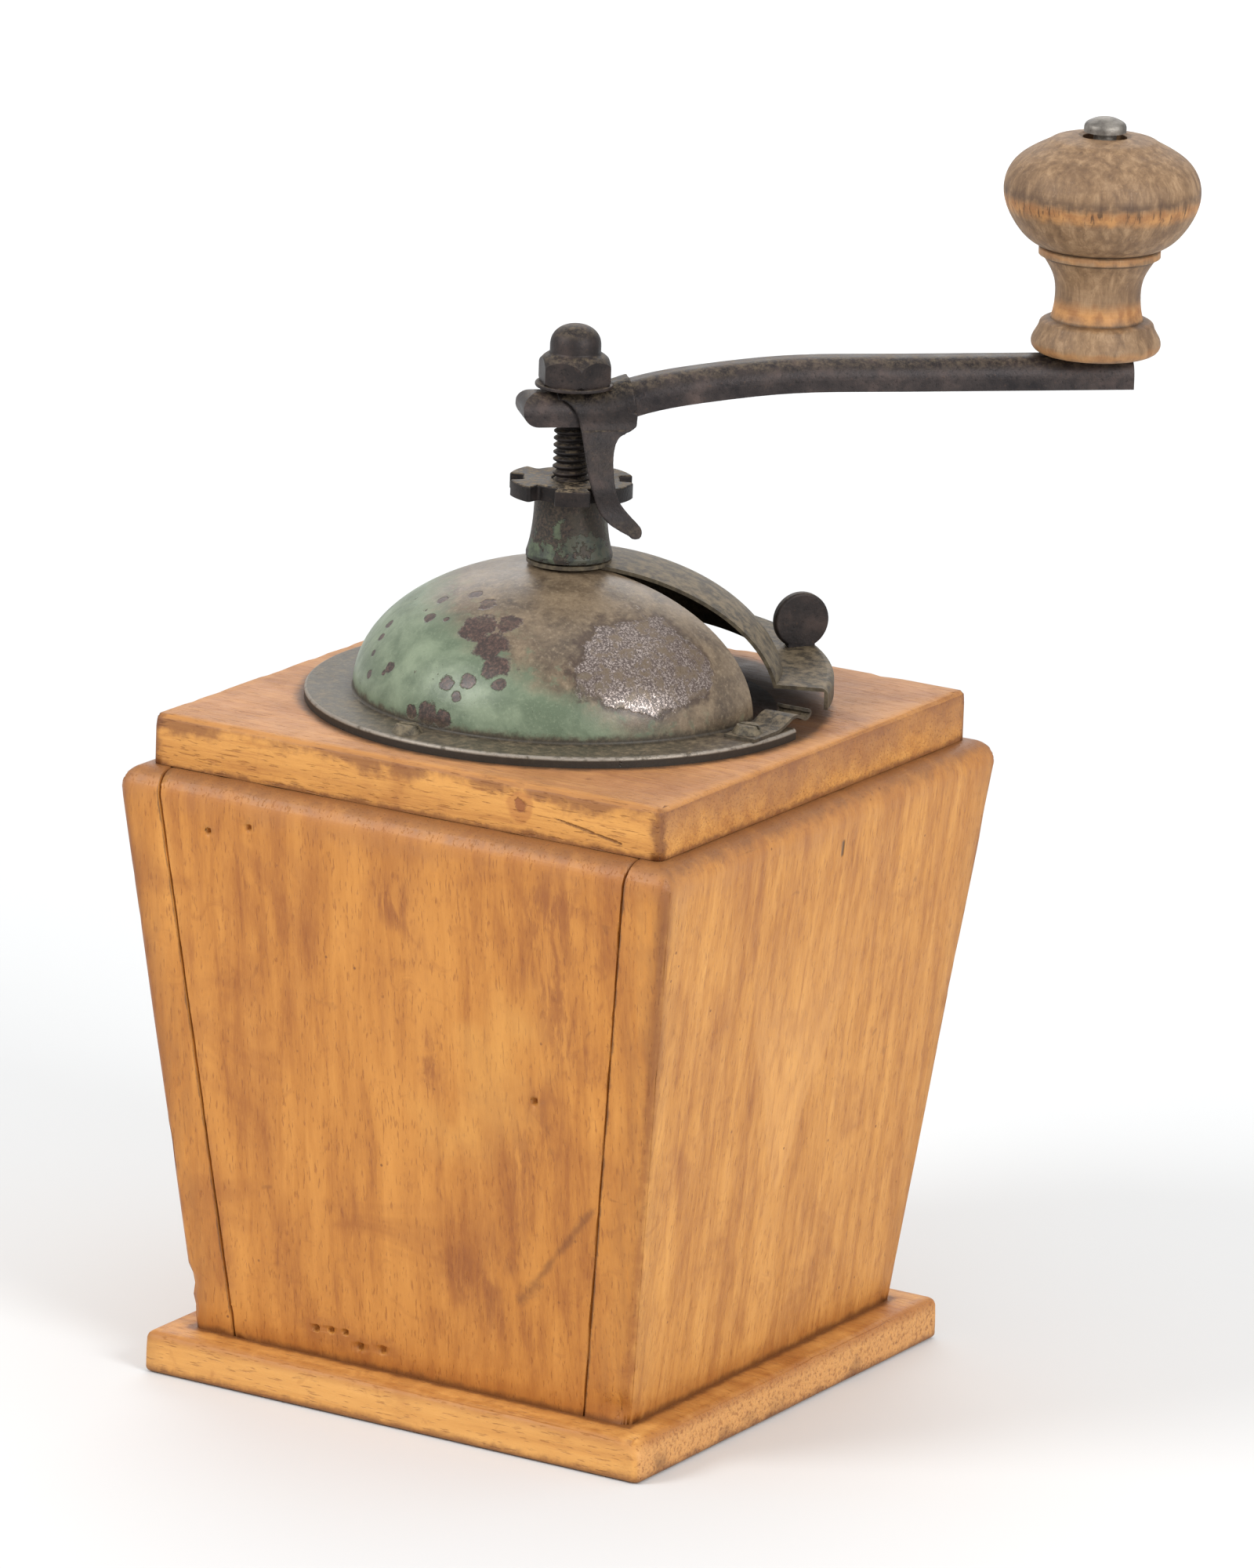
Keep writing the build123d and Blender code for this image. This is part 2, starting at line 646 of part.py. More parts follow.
with BuildPart() as lower_bridge:
    with BuildSketch(Plane.XZ):
        with BuildLine():
            Polyline((-lower_bridge_reach, ear_z), (-lower_bridge_reach, ear_z - bridge_thickness),
                     (-25.5, ear_z - bridge_thickness), (-19.5, bridge_z), (19.5, bridge_z),
                     (25.5, ear_z - bridge_thickness), (lower_bridge_reach, ear_z - bridge_thickness),
                     (lower_bridge_reach, ear_z), (23.6, ear_z), (17.6, bridge_z + bridge_thickness),
                     (-17.6, bridge_z + bridge_thickness), (-23.6, ear_z), close=True)
        make_face()
    extrude(amount=lower_bridge_width / 2, both=True)
    with BuildSketch(Plane.XY.offset(bridge_z)):
        Circle(lower_hub_radius)
    extrude(amount=2 * bridge_thickness)
    with Locations((0, 0, bridge_z + 2 * bridge_thickness)):
        Hole(journal_radius + running_gap, depth=12)
    with Locations((-ear_screw_reach, 0, chamber_low), (ear_screw_reach, 0, chamber_low)):
        Hole(1.7, depth=8)
save(lower_bridge.part, "lower_bridge")

lower_screw_places = [Plane(origin=(x, 0, ear_z - bridge_thickness), z_dir=(0, 0, -1))
                      for x in (-ear_screw_reach, ear_screw_reach)]
save(wood_screws(lower_screw_places, 2.9, 1.5, 8.5), "lower_bridge_screws")

# ---------------------------------------------------------------- spindle and adjusting nut
root_radius = spindle_radius - thread_depth
thread_low_z = nut_z - 4.5
square_low_z = arm_root_z - 4.3
thread_turns = int((thread_top_z - thread_low_z) / thread_pitch)
with BuildPart() as spindle:
    with BuildSketch(Plane.XZ):
        outline = [(0, bridge_z - 1.0), (journal_radius, bridge_z - 1.0), (journal_radius, cone_low - 4.0),
                   (spindle_radius, cone_low - 4.0), (spindle_radius, thread_low_z)]
        for turn in range(thread_turns):
            z = thread_low_z + turn * thread_pitch
            outline += [(root_radius, z + 0.42 * thread_pitch), (root_radius, z + 0.58 * thread_pitch),
                        (spindle_radius, z + thread_pitch)]
        outline += [(spindle_radius, square_low_z), (stub_radius, square_low_z),
                    (stub_radius, cap_top_z - 4.2), (0, cap_top_z - 4.2)]
        with BuildLine():
            Polyline(*outline, close=True)
        make_face()
    revolve(axis=Axis.Z)
    with BuildSketch(Plane.XY.offset(square_low_z)):
        Rectangle(square_hole - 0.1, square_hole - 0.1, rotation=arm_azimuth)
    extrude(amount=clip_z - square_low_z)
    with Locations(Location((0, 0, burr_pin_z), (0, 90, 0))):
        Hole(burr_pin_radius)
save(spindle.part, "spindle")

with BuildPart() as adjusting_nut:
    with BuildSketch(Plane.XY.offset(nut_z)):
        Circle(nut_radius)
        Circle(spindle_radius + running_gap, mode=Mode.SUBTRACT)
    extrude(amount=nut_thickness)
    for notch in range(6):
        middle = lobe_azimuth + 30.0 + 60.0 * notch
        add(sector_cut(nut_root_radius, middle - notch_angle / 2, middle + notch_angle / 2,
                       nut_z - 1, nut_z + nut_thickness + 1, outer=20.0), mode=Mode.SUBTRACT)
    fillet(adjusting_nut.edges().filter_by(Axis.Z), 0.6)
    top_rim = [e for e in adjusting_nut.edges().group_by(Axis.Z)[-1]
               if e.bounding_box().diagonal < 1.5 * nut_radius or e.length < 2 * nut_radius]
    fillet(top_rim, 0.45)
save(adjusting_nut.part, "adjusting_nut")

# ---------------------------------------------------------------- crank
arm_plane = upright(arm_azimuth)
arm_end = arm_length + arm_overhang
arm_dir = arm_plane.x_dir
arm_corner = 4.2


def crank_path(start, end):
    """The crown line of the arm: level at the spindle, rising in a curve, level again at the knob."""
    with BuildLine(arm_plane) as path:
        Line((start, arm_root_z), (2.0, arm_root_z))
        Spline((2.0, arm_root_z), (11.0, arm_root_z + 2.0), (28.0, arm_root_z + 5.2),
               (44.5, arm_root_z + 6.8), (70.0, arm_top_z),
               tangents=[(1, 0), (1, 0)])
        Line((70.0, arm_top_z), (end, arm_top_z))
    return path.wire()


arm_outside_path = crank_path(-arm_tail, arm_end)
arm_inside_path = crank_path(-arm_tail + arm_sheet, arm_end + 1.0)


def section_plane(start):
    """The plane square to the arm where its crown line starts; local y points up."""
    origin = arm_dir * start + Vector(0, 0, arm_root_z)
    return Plane(origin=origin, x_dir=arm_plane.z_dir * -1, z_dir=arm_dir)


def arched(plane, half, depth, drop, corner):
    """An arch-topped section, flat below, hanging from the crown line."""
    with BuildSketch(plane) as section:
        with BuildLine():
            Polyline((half, -drop - corner), (half, -depth), (-half, -depth), (-half, -drop - corner))
            RadiusArc((-half, -drop - corner), (-half + corner, -drop), corner)
            Line((-half + corner, -drop), (half - corner, -drop))
            RadiusArc((half - corner, -drop), (half, -drop - corner), corner)
        make_face()
    return section.sketch


outside_section = arched(section_plane(-arm_tail), arm_width / 2, arm_depth, 0.0, arm_corner)
inside_section = arched(section_plane(-arm_tail + arm_sheet), arm_width / 2 - arm_sheet,
                        arm_depth + 1.0, arm_sheet, arm_corner - arm_sheet)

with BuildPart() as crank_arm:
    sweep(sections=outside_section, path=arm_outside_path)
    sweep(sections=inside_section, path=arm_inside_path, mode=Mode.SUBTRACT)
    # the tail is rounded in side view
    with BuildSketch(arm_plane):
        with Locations((-arm_tail + 1.6, arm_root_z - arm_depth / 2)):
            Rectangle(3.4, arm_depth + 1)
        with Locations((-arm_tail + 3.3, arm_root_z - arm_depth / 2)):
            Circle(arm_depth / 2, mode=Mode.SUBTRACT)
    extrude(amount=arm_width, both=True, mode=Mode.SUBTRACT)
    with BuildSketch(Plane.XY.offset(arm_root_z + 1)):
        Rectangle(square_hole, square_hole, rotation=arm_azimuth)
    extrude(amount=-4.0, mode=Mode.SUBTRACT)
    with Locations(Location(arm_dir * arm_length + Vector(0, 0, arm_top_z))):
        Hole(2.5, depth=arm_depth + 2)
save(crank_arm.part, "crank_arm")


# the locking clip: a saddle of spring sheet over the arm's root, its near leg drawn out into a tongue
# that stands in a notch of the nut. The tongue's lower part flexes, so it is the second piece here.
saddle_start = -4.2
saddle_path = crank_path(saddle_start, arm_end)
saddle_half = arm_width / 2 + 0.1 + clip_sheet
saddle_outside = arched(section_plane(saddle_start), saddle_half, 5.2, -clip_sheet,
                        arm_corner + clip_sheet)
saddle_inside = arched(section_plane(saddle_start), saddle_half - clip_sheet, 6.0, -0.02, arm_corner)


def clip_blank():
    """The whole clip: saddle and near leg, cut to the leg's and the tongue's outline in side view."""
    leg_v = saddle_half - clip_sheet / 2
    leg_plane = Plane(origin=arm_dir * 20.0, x_dir=arm_plane.z_dir, z_dir=arm_dir * -1)
    with BuildPart() as blank:
        sweep(sections=saddle_outside, path=saddle_path)
        sweep(sections=saddle_inside, path=saddle_path, mode=Mode.SUBTRACT)
        with BuildSketch(leg_plane):
            with BuildLine():
                Line((leg_v, arm_root_z - 3.6), (leg_v, arm_root_z - 5.0))
                Spline((leg_v, arm_root_z - 5.0), (leg_v + 0.7, clip_split_z), (9.8, nut_z + 8.0),
                       (11.9, nut_z + 2.6), (12.0, nut_z), (13.2, nut_z - 3.8), (15.0, nut_z - 6.6),
                       tangents=[(0, -1), (0.6, -1)])
            trace(line_width=clip_sheet)
        extrude(amount=26.0)
        with BuildSketch(arm_plane.offset(-8.0)):
            with BuildLine():
                Polyline((saddle_start, clip_z + 4), (saddle_start, arm_root_z - 1.0),
                         (-3.2, arm_root_z - 1.0))
                Spline((-3.2, arm_root_z - 1.0), (0.6, clip_split_z), (2.0, nut_z + 4.0),
                       (4.6, nut_z - 2.4), (10.0, nut_z - 6.0), tangents=[(1, -0.4), (1, -0.5)])
                ThreePointArc((10.0, nut_z - 6.0), (12.3, nut_z - 6.2), (12.4, nut_z - 4.2))
                Spline((12.4, nut_z - 4.2), (8.4, nut_z + 0.4), (7.0, nut_z + 6.0),
                       (8.8, clip_split_z - 0.8), (12.4, arm_root_z - 6.4),
                       tangents=[(-0.8, 0.9), (1, 0.9)])
                Polyline((12.4, arm_root_z - 6.4), (12.6, arm_root_z - 4.0), (11.0, clip_z + 4),
                         (saddle_start, clip_z + 4))
            make_face()
        extrude(amount=30.0, mode=Mode.INTERSECT)
    return blank.part


clip = clip_blank()
with BuildPart() as locking_clip:
    add(clip)
    split(bisect_by=Plane.XY.offset(clip_split_z), keep=Keep.TOP)
    with BuildSketch(Plane.XY.offset(clip_z + 1)):
        Rectangle(square_hole, square_hole, rotation=arm_azimuth)
    extrude(amount=-3.0, mode=Mode.SUBTRACT)
save(locking_clip.part, "locking_clip")

with BuildPart() as locking_tongue:
    add(clip)
    split(bisect_by=Plane.XY.offset(clip_split_z - 0.1), keep=Keep.BOTTOM)
save(locking_tongue.part, "locking_tongue")

with BuildPart() as cap_washer:
    with BuildSketch(Plane.XY.offset(clip_z)):
        Circle(8.3)
        Circle(3.2, mode=Mode.SUBTRACT)
    extrude(amount=washer_thickness)
    fillet(cap_washer.edges().filter_by(GeomType.CIRCLE).group_by(SortBy.RADIUS)[-1], 0.25)
save(cap_washer.part, "cap_washer")

# the cap nut: a hexagon with rounded shoulders and a domed cap
cap_corner = cap_across_flats / sqrt(3)
with BuildPart() as cap_nut:
    with BuildSketch(Plane.XY.offset(cap_z)):
        RegularPolygon(cap_corner, 6, rotation=12)
    extrude(amount=cap_top_z - cap_z)
    with BuildSketch(Plane.XZ):
        with BuildLine():
            Polyline((stub_radius + running_gap, cap_z), (cap_corner - 0.5, cap_z), (cap_corner, cap_z + 0.6),
                     (cap_corner, cap_z + 3.4))
            Spline((cap_corner, cap_z + 3.4), (cap_corner - 0.7, cap_z + 4.9), (6.2, cap_z + 6.0),
                   (cap_dome_radius, cap_z + 6.8), tangents=[(0, 1), (-0.2, 1)])
            Line((cap_dome_radius, cap_z + 6.8), (cap_dome_radius, cap_top_z - 4.6))
            Spline((cap_dome_radius, cap_top_z - 4.6), (cap_dome_radius * 0.72, cap_top_z - 1.2),
                   (0, cap_top_z), tangents=[(0, 1), (-1, 0)])
            Polyline((0, cap_top_z), (0, cap_top_z - 4.0), (stub_radius + running_gap, cap_top_z - 4.0),
                     (stub_radius + running_gap, cap_z))
        make_face()
    revolve(axis=Axis.Z, mode=Mode.INTERSECT)
save(cap_nut.part, "cap_nut")

# ---------------------------------------------------------------- knob
knob_centre = arm_dir * arm_length
knob_side = upright(arm_azimuth, knob_centre.X, knob_centre.Y)
knob_line = Axis(knob_centre, (0, 0, 1))
pin_foot_z = arm_top_z - arm_sheet - 0.9

with BuildPart() as knob_washer:
    with BuildSketch(Plane.XY.offset(arm_top_z)):
        with Locations(knob_centre):
            Circle(knob_washer_radius)
            Circle(knob_bore, mode=Mode.SUBTRACT)
    extrude(amount=knob_washer_thickness)
save(knob_washer.part, "knob_washer")

# the grip: a beaded foot, a long waist, a square collar and a bulb, dished round the pin's head
collar_z = knob_z + knob_collar_height
grip_top_z = knob_z + knob_height
with BuildPart() as knob:
    with BuildSketch(knob_side):
        with BuildLine():
            Polyline((knob_bore, knob_z), (knob_foot_radius, knob_z))
            Spline((knob_foot_radius, knob_z), (knob_foot_bead_radius, knob_z + 2.5), (12.3, knob_z + 5.4),
                   (9.9, knob_z + 7.2), tangents=[(1, 0.3), (-1, 0.2)])
            Spline((9.9, knob_z + 7.2), (knob_waist_radius, knob_z + 11.2), (9.4, knob_z + 15.6),
                   (12.0, collar_z), tangents=[(-0.4, 1), (0.7, 1)])
            Polyline((12.0, collar_z), (knob_collar_radius, collar_z + 0.4),
                     (knob_collar_radius, collar_z + 1.8), (12.4, collar_z + 2.2))
            Spline((12.4, collar_z + 2.2), (18.3, knob_z + 27.6), (knob_bulb_radius, knob_z + 34.0),
                   (18.2, knob_z + 41.0), (11.8, knob_z + 45.0), (5.6, grip_top_z),
                   tangents=[(1, 0.35), (-1, 0.12)])
            Polyline((5.6, grip_top_z), (4.7, grip_top_z - 0.4), (4.7, grip_top_z - 1.6),
                     (knob_bore, grip_top_z - 1.6), (knob_bore, knob_z))
        make_face()
    revolve(axis=knob_line)
save(knob.part, "knob")

# the pin: riveted under the arm, headed over above the grip
pin_head_z = grip_top_z + 0.8
with BuildPart() as knob_pin:
    with BuildSketch(knob_side):
        with BuildLine():
            Polyline((0, pin_foot_z - 1.3), (2.4, pin_foot_z - 1.3), (3.2, pin_foot_z - 0.6),
                     (3.2, pin_foot_z), (knob_pin_radius, pin_foot_z), (knob_pin_radius, pin_head_z),
                     (knob_pin_head_radius, pin_head_z), (knob_pin_head_radius, pin_head_z + 0.8))
            Spline((knob_pin_head_radius, pin_head_z + 0.8), (3.3, pin_head_z + 2.4), (0, pin_head_z + 3.2),
                   tangents=[(0, 1), (-1, 0)])
            Line((0, pin_head_z + 3.2), (0, pin_foot_z - 1.3))
        make_face()
    revolve(axis=knob_line)
save(knob_pin.part, "knob_pin")
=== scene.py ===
import math

import bmesh
import bpy
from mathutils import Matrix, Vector, noise


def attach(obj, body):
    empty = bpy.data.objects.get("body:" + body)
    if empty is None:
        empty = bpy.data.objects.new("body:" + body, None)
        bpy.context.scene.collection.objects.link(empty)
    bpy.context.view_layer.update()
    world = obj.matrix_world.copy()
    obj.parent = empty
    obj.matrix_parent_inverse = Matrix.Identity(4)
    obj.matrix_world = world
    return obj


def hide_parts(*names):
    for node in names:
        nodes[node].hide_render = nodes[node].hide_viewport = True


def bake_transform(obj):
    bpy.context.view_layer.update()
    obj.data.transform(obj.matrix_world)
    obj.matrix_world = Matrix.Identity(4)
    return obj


# An old wooden box coffee mill: honey-coloured case, chipped green sheet hopper, rusty crank.
# Everything is in metres in the frame of the CAD model; the materials work in millimetres.

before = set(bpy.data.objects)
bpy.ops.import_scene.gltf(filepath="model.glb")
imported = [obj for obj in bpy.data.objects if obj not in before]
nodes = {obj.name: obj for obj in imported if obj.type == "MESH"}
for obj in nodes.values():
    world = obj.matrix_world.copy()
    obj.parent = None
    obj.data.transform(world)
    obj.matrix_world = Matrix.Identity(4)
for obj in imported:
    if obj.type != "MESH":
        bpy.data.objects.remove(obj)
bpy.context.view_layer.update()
MM = 0.001

# ---------------------------------------------------------------- sizes of the model, in mm
BASE_HALF = 62.0         # half the width of the base board
BODY_Z = 9.2             # top of the base board, where the case starts
LEDGE_Z = 134.0          # top of the case, under the lid
LID_HALF = 62.45
LID_Z = 144.9
NUT_Z = 190.1            # underside of the adjusting nut
SPLIT_Z = 204.5          # where the tongue leaves the clip
KNOB_Z = 219.6           # underside of the knob
BODY_LOW_HALF = 54.5     # half the case's width at its foot
LEAN = 0.11098           # how much that half width grows per mm of height
SEAM_INSET = 10.6        # from the side walls' outside to the open seams
FLANGE_RIM = 55.0
PATCH_STRETCH = 1.35     # the bare patch on the dome is this much wider than high
ARM_AZIMUTH = math.radians(42.0)

# nail holes in the near-left wall: x, z and the radius of the dent
NAIL_HOLES = (((-22.7, 15.5), 0.75), ((-18.9, 15.8), 0.7), ((-15.3, 16.0), 0.65), ((-11.7, 13.5), 0.8),
              ((-6.1, 13.9), 0.85), ((-45.0, 123.1), 0.6), ((-34.8, 125.6), 0.65), ((33.9, 77.7), 0.75))
NAIL_STAINS = (
    ((-22.7, -55.9, 15.5), 0.9), ((-18.9, -55.9, 15.8), 0.85), ((-15.3, -55.9, 16.0), 0.8),
    ((-11.7, -55.6, 13.5), 0.95), ((-6.1, -55.6, 13.9), 1.0), ((-45.0, -67.1, 123.1), 0.75),
    ((-34.8, -67.4, 125.6), 0.8), ((33.9, -62.1, 77.7), 0.9))
# paint chips on the dome: centre and radius
CHIPS = (
    ((-16.3, -23.4, 168.9), 1.3), ((-16.0, -28.9, 166.3), 1.4), ((-20.0, -37.5, 156.4), 1.5),
    ((1.9, -41.5, 158.0), 1.8), ((0.3, -43.3, 154.8), 1.2), ((-2.9, -42.1, 156.9), 1.7),
    ((-21.4, -37.5, 155.1), 0.8), ((-11.0, -30.0, 166.4), 0.8), ((-6.2, -44.2, 150.2), 2.6),
    ((-2.2, -44.6, 149.6), 2.2), ((-10.5, -43.4, 149.7), 1.5), ((-2.0, -31.9, 166.9), 4.0),
    ((3.4, -35.0, 163.8), 3.7), ((6.6, -38.2, 161.0), 3.0), ((4.1, -29.4, 168.2), 2.6),
    ((-27.0, -34.8, 153.4), 1.0), ((-28.2, -31.6, 157.2), 0.9), ((-28.0, -28.8, 160.0), 1.1),
    ((-27.8, -26.0, 162.3), 1.2), ((-9.0, -22.0, 170.8), 1.5), ((-4.0, -25.0, 170.2), 2.0),
    ((9.0, -40.5, 158.2), 1.5))


def srgb(r, g, b):
    """A linear colour from everyday 0-255 values."""
    return tuple((c / 255) ** 2.2 for c in (r, g, b)) + (1.0,)


# ---------------------------------------------------------------- material helper
class Paint:
    """A material under construction, with short names for the nodes it is made of."""

    def __init__(self, name):
        self.material = bpy.data.materials.new(name)
        self.material.use_nodes = True
        self.tree = self.material.node_tree
        self.shader = self.tree.nodes["Principled BSDF"]
        coords = self.add("ShaderNodeTexCoord")
        self.place = self.vector("SCALE", coords.outputs["Object"], factor=1 / MM)
        parts = self.add("ShaderNodeSeparateXYZ")
        self.join(self.place, parts.inputs[0])
        self.x, self.y, self.z = parts.outputs
        parts = self.add("ShaderNodeSeparateXYZ")
        self.join(coords.outputs["Normal"], parts.inputs[0])
        self.nx, self.ny, self.nz = parts.outputs

    def add(self, kind, **settings):
        node = self.tree.nodes.new(kind)
        for key, value in settings.items():
            setattr(node, key, value)
        return node

    def join(self, value, socket):
        if isinstance(value, bpy.types.NodeSocket):
            self.tree.links.new(value, socket)
        else:
            socket.default_value = value

    def vector(self, operation, a, b=(0.0, 0.0, 0.0), factor=1.0):
        node = self.add("ShaderNodeVectorMath", operation=operation)
        self.join(a, node.inputs[0])
        self.join(b, node.inputs[1])
        self.join(factor, node.inputs[3])
        return node.outputs["Value" if operation in ("LENGTH", "DISTANCE") else "Vector"]

    def maths(self, operation, a, b=0.0, clamp=False):
        node = self.add("ShaderNodeMath", operation=operation, use_clamp=clamp)
        self.join(a, node.inputs[0])
        self.join(b, node.inputs[1])
        return node.outputs[0]

    def fade(self, value, low, high):
        """0 at low and 1 at high, with a soft start and end; low may be the larger."""
        node = self.add("ShaderNodeMapRange", interpolation_type="SMOOTHSTEP")
        self.join(value, node.inputs["Value"])
        flip = low > high
        node.inputs["From Min"].default_value = high if flip else low
        node.inputs["From Max"].default_value = low if flip else high
        node.inputs["To Min"].default_value = 1.0 if flip else 0.0
        node.inputs["To Max"].default_value = 0.0 if flip else 1.0
        return node.outputs["Result"]

    def noise(self, period, detail=2.0, rough=0.5, warp=0.0, source=None):
        """Cloudy noise whose lumps are about one period (mm) apart."""
        node = self.add("ShaderNodeTexNoise")
        self.join(source or self.place, node.inputs["Vector"])
        node.inputs["Scale"].default_value = 1.0 / period
        node.inputs["Detail"].default_value = detail
        node.inputs["Roughness"].default_value = rough
        node.inputs["Distortion"].default_value = warp
        return node.outputs["Fac"]

    def cells(self, period, source=None):
        """Distance to the nearest of scattered points, in periods."""
        node = self.add("ShaderNodeTexVoronoi")
        self.join(source or self.place, node.inputs["Vector"])
        node.inputs["Scale"].default_value = 1.0 / period
        return node.outputs["Distance"]

    def mix(self, amount, a, b, blend="MIX"):
        node = self.add("ShaderNodeMix", data_type="RGBA", blend_type=blend)
        self.join(amount, node.inputs["Factor"])
        self.join(a, node.inputs[6])
        self.join(b, node.inputs[7])
        return node.outputs[2]

    def ramp(self, value, *stops):
        node = self.add("ShaderNodeValToRGB")
        self.join(value, node.inputs["Fac"])
        elements = node.color_ramp.elements
        while len(elements) < len(stops):
            elements.new(0.5)
        for element, (position, colour) in zip(elements, stops):
            element.position = position
            element.color = colour
        return node.outputs["Color"]

    def plus(self, a, b):
        return self.maths("ADD", a, b)

    def minus(self, a, b):
        return self.maths("SUBTRACT", a, b)

    def size(self, value):
        return self.maths("ABSOLUTE", value)

    def both(self, a, *others):
        """The product of two or more masks or values."""
        for other in others:
            a = self.maths("MULTIPLY", a, other)
        return a

    def either(self, a, b):
        return self.maths("MAXIMUM", a, b)

    def swing(self, pattern, reach):
        """A noise pattern brought to swing about zero, for ragged outlines."""
        return self.both(self.minus(pattern, 0.5), reach)

    def stretched(self, x, y, z):
        """The place scaled along each axis; a pattern is drawn out along the axis scaled down."""
        return self.vector("MULTIPLY", self.place, (x, y, z))

    def from_axis(self):
        """Distance from the mill's upright axis."""
        return self.vector("LENGTH", self.stretched(1.0, 1.0, 0.0))

    def stain(self, colour, mask, tone, amount):
        return self.mix(self.both(mask, amount), colour, tone)

    def near(self, value, centre, reach):
        """1 where the value is at the centre, fading to 0 at the reach."""
        return self.fade(self.size(self.minus(value, centre)), reach, 0.0)

    def spot(self, centre, radius, ragged=0.5, wobble=None):
        """A round mark with a ragged outline."""
        distance = self.vector("DISTANCE", self.place, centre)
        if wobble is not None:
            distance = self.plus(distance, self.swing(wobble, 4.0 * ragged * radius))
        return self.fade(distance, radius * 1.1, radius * 0.85)

    def spots(self, marks, ragged, wobble):
        """Several round marks, each given by its centre and its radius."""
        found = None
        for centre, radius in marks:
            mark = self.spot(centre, radius, ragged, wobble)
            found = mark if found is None else self.either(found, mark)
        return found

    def line(self, start, end, reach, wobble=None, ragged=1.0):
        """A mark along the line between two points, fading out at the reach."""
        along = Vector(end) - Vector(start)
        unit = along.normalized()
        relative = self.vector("SUBTRACT", self.place, tuple(start))
        dot = self.add("ShaderNodeVectorMath", operation="DOT_PRODUCT")
        self.join(relative, dot.inputs[0])
        dot.inputs[1].default_value = unit
        run = self.maths("MINIMUM", self.maths("MAXIMUM", dot.outputs["Value"], 0.0), along.length)
        axis = self.add("ShaderNodeCombineXYZ")
        for i in range(3):
            self.join(self.maths("MULTIPLY", run, unit[i]), axis.inputs[i])
        distance = self.vector("DISTANCE", relative, axis.outputs[0])
        if wobble is not None:
            distance = self.plus(distance, self.swing(wobble, 4.0 * ragged * reach))
        return self.fade(distance, reach, 0.0)

    def finish(self, colour, roughness, height=None, depth=0.2, metal=0.0):
        """Feed the shader; height is in 0..1 and depth is the bump's depth in mm."""
        self.join(colour, self.shader.inputs["Base Color"])
        self.join(roughness, self.shader.inputs["Roughness"])
        self.join(metal, self.shader.inputs["Metallic"])
        if height is not None:
            bump = self.add("ShaderNodeBump")
            bump.inputs["Strength"].default_value = 1.0
            bump.inputs["Distance"].default_value = depth * MM
            self.join(height, bump.inputs["Height"])
            self.join(bump.outputs["Normal"], self.shader.inputs["Normal"])
        return self.material


# ---------------------------------------------------------------- wood
HONEY_PALE = srgb(214, 153, 80)
HONEY = srgb(190, 129, 60)
HONEY_BROWN = srgb(146, 86, 36)
STAIN = srgb(104, 58, 28)
GRIME = srgb(40, 26, 17)


def wood_base(paint, grain, pale=HONEY_PALE, middle=HONEY, deep=HONEY_BROWN, blotch=0.55):
    """Fine-grained beech: returns its colour and a height for the pores; grain is the axis number."""
    stretch = [1.0, 1.0, 1.0]
    stretch[grain] = 0.05
    drawn = paint.vector("MULTIPLY", paint.place, tuple(stretch))
    stretch[grain] = 0.12
    fine = paint.vector("MULTIPLY", paint.place, tuple(stretch))
    streak = paint.noise(4.2, detail=5.0, rough=0.66, warp=0.35, source=drawn)
    colour = paint.ramp(streak, (0.20, deep), (0.48, middle), (0.76, pale))
    broad = paint.noise(17.0, detail=2.0, rough=0.5, warp=0.3, source=drawn)
    colour = paint.mix(paint.both(paint.fade(broad, 0.50, 0.74), 0.55), colour, pale)
    colour = paint.mix(paint.both(paint.fade(broad, 0.48, 0.28), 0.45), colour, deep)
    cloud = paint.noise(30.0, detail=4.0, rough=0.6, warp=0.7)
    colour = paint.mix(paint.both(paint.fade(cloud, 0.50, 0.74), blotch), colour, deep)
    curl = paint.noise(6.5, detail=4.0, rough=0.6, warp=1.4)
    colour = paint.mix(paint.both(paint.fade(curl, 0.56, 0.78), 0.40), colour, deep)
    flecks = paint.noise(0.50, detail=2.0, rough=0.6, source=fine)
    pores = paint.fade(flecks, 0.58, 0.72)
    colour = paint.mix(paint.both(pores, 0.55), colour, deep)
    silk = paint.noise(0.28, detail=1.0, source=drawn)
    colour = paint.mix(paint.both(paint.fade(silk, 0.5, 0.8), 0.22), colour, pale)
    height = paint.minus(streak, paint.both(pores, 0.5))
    return colour, height


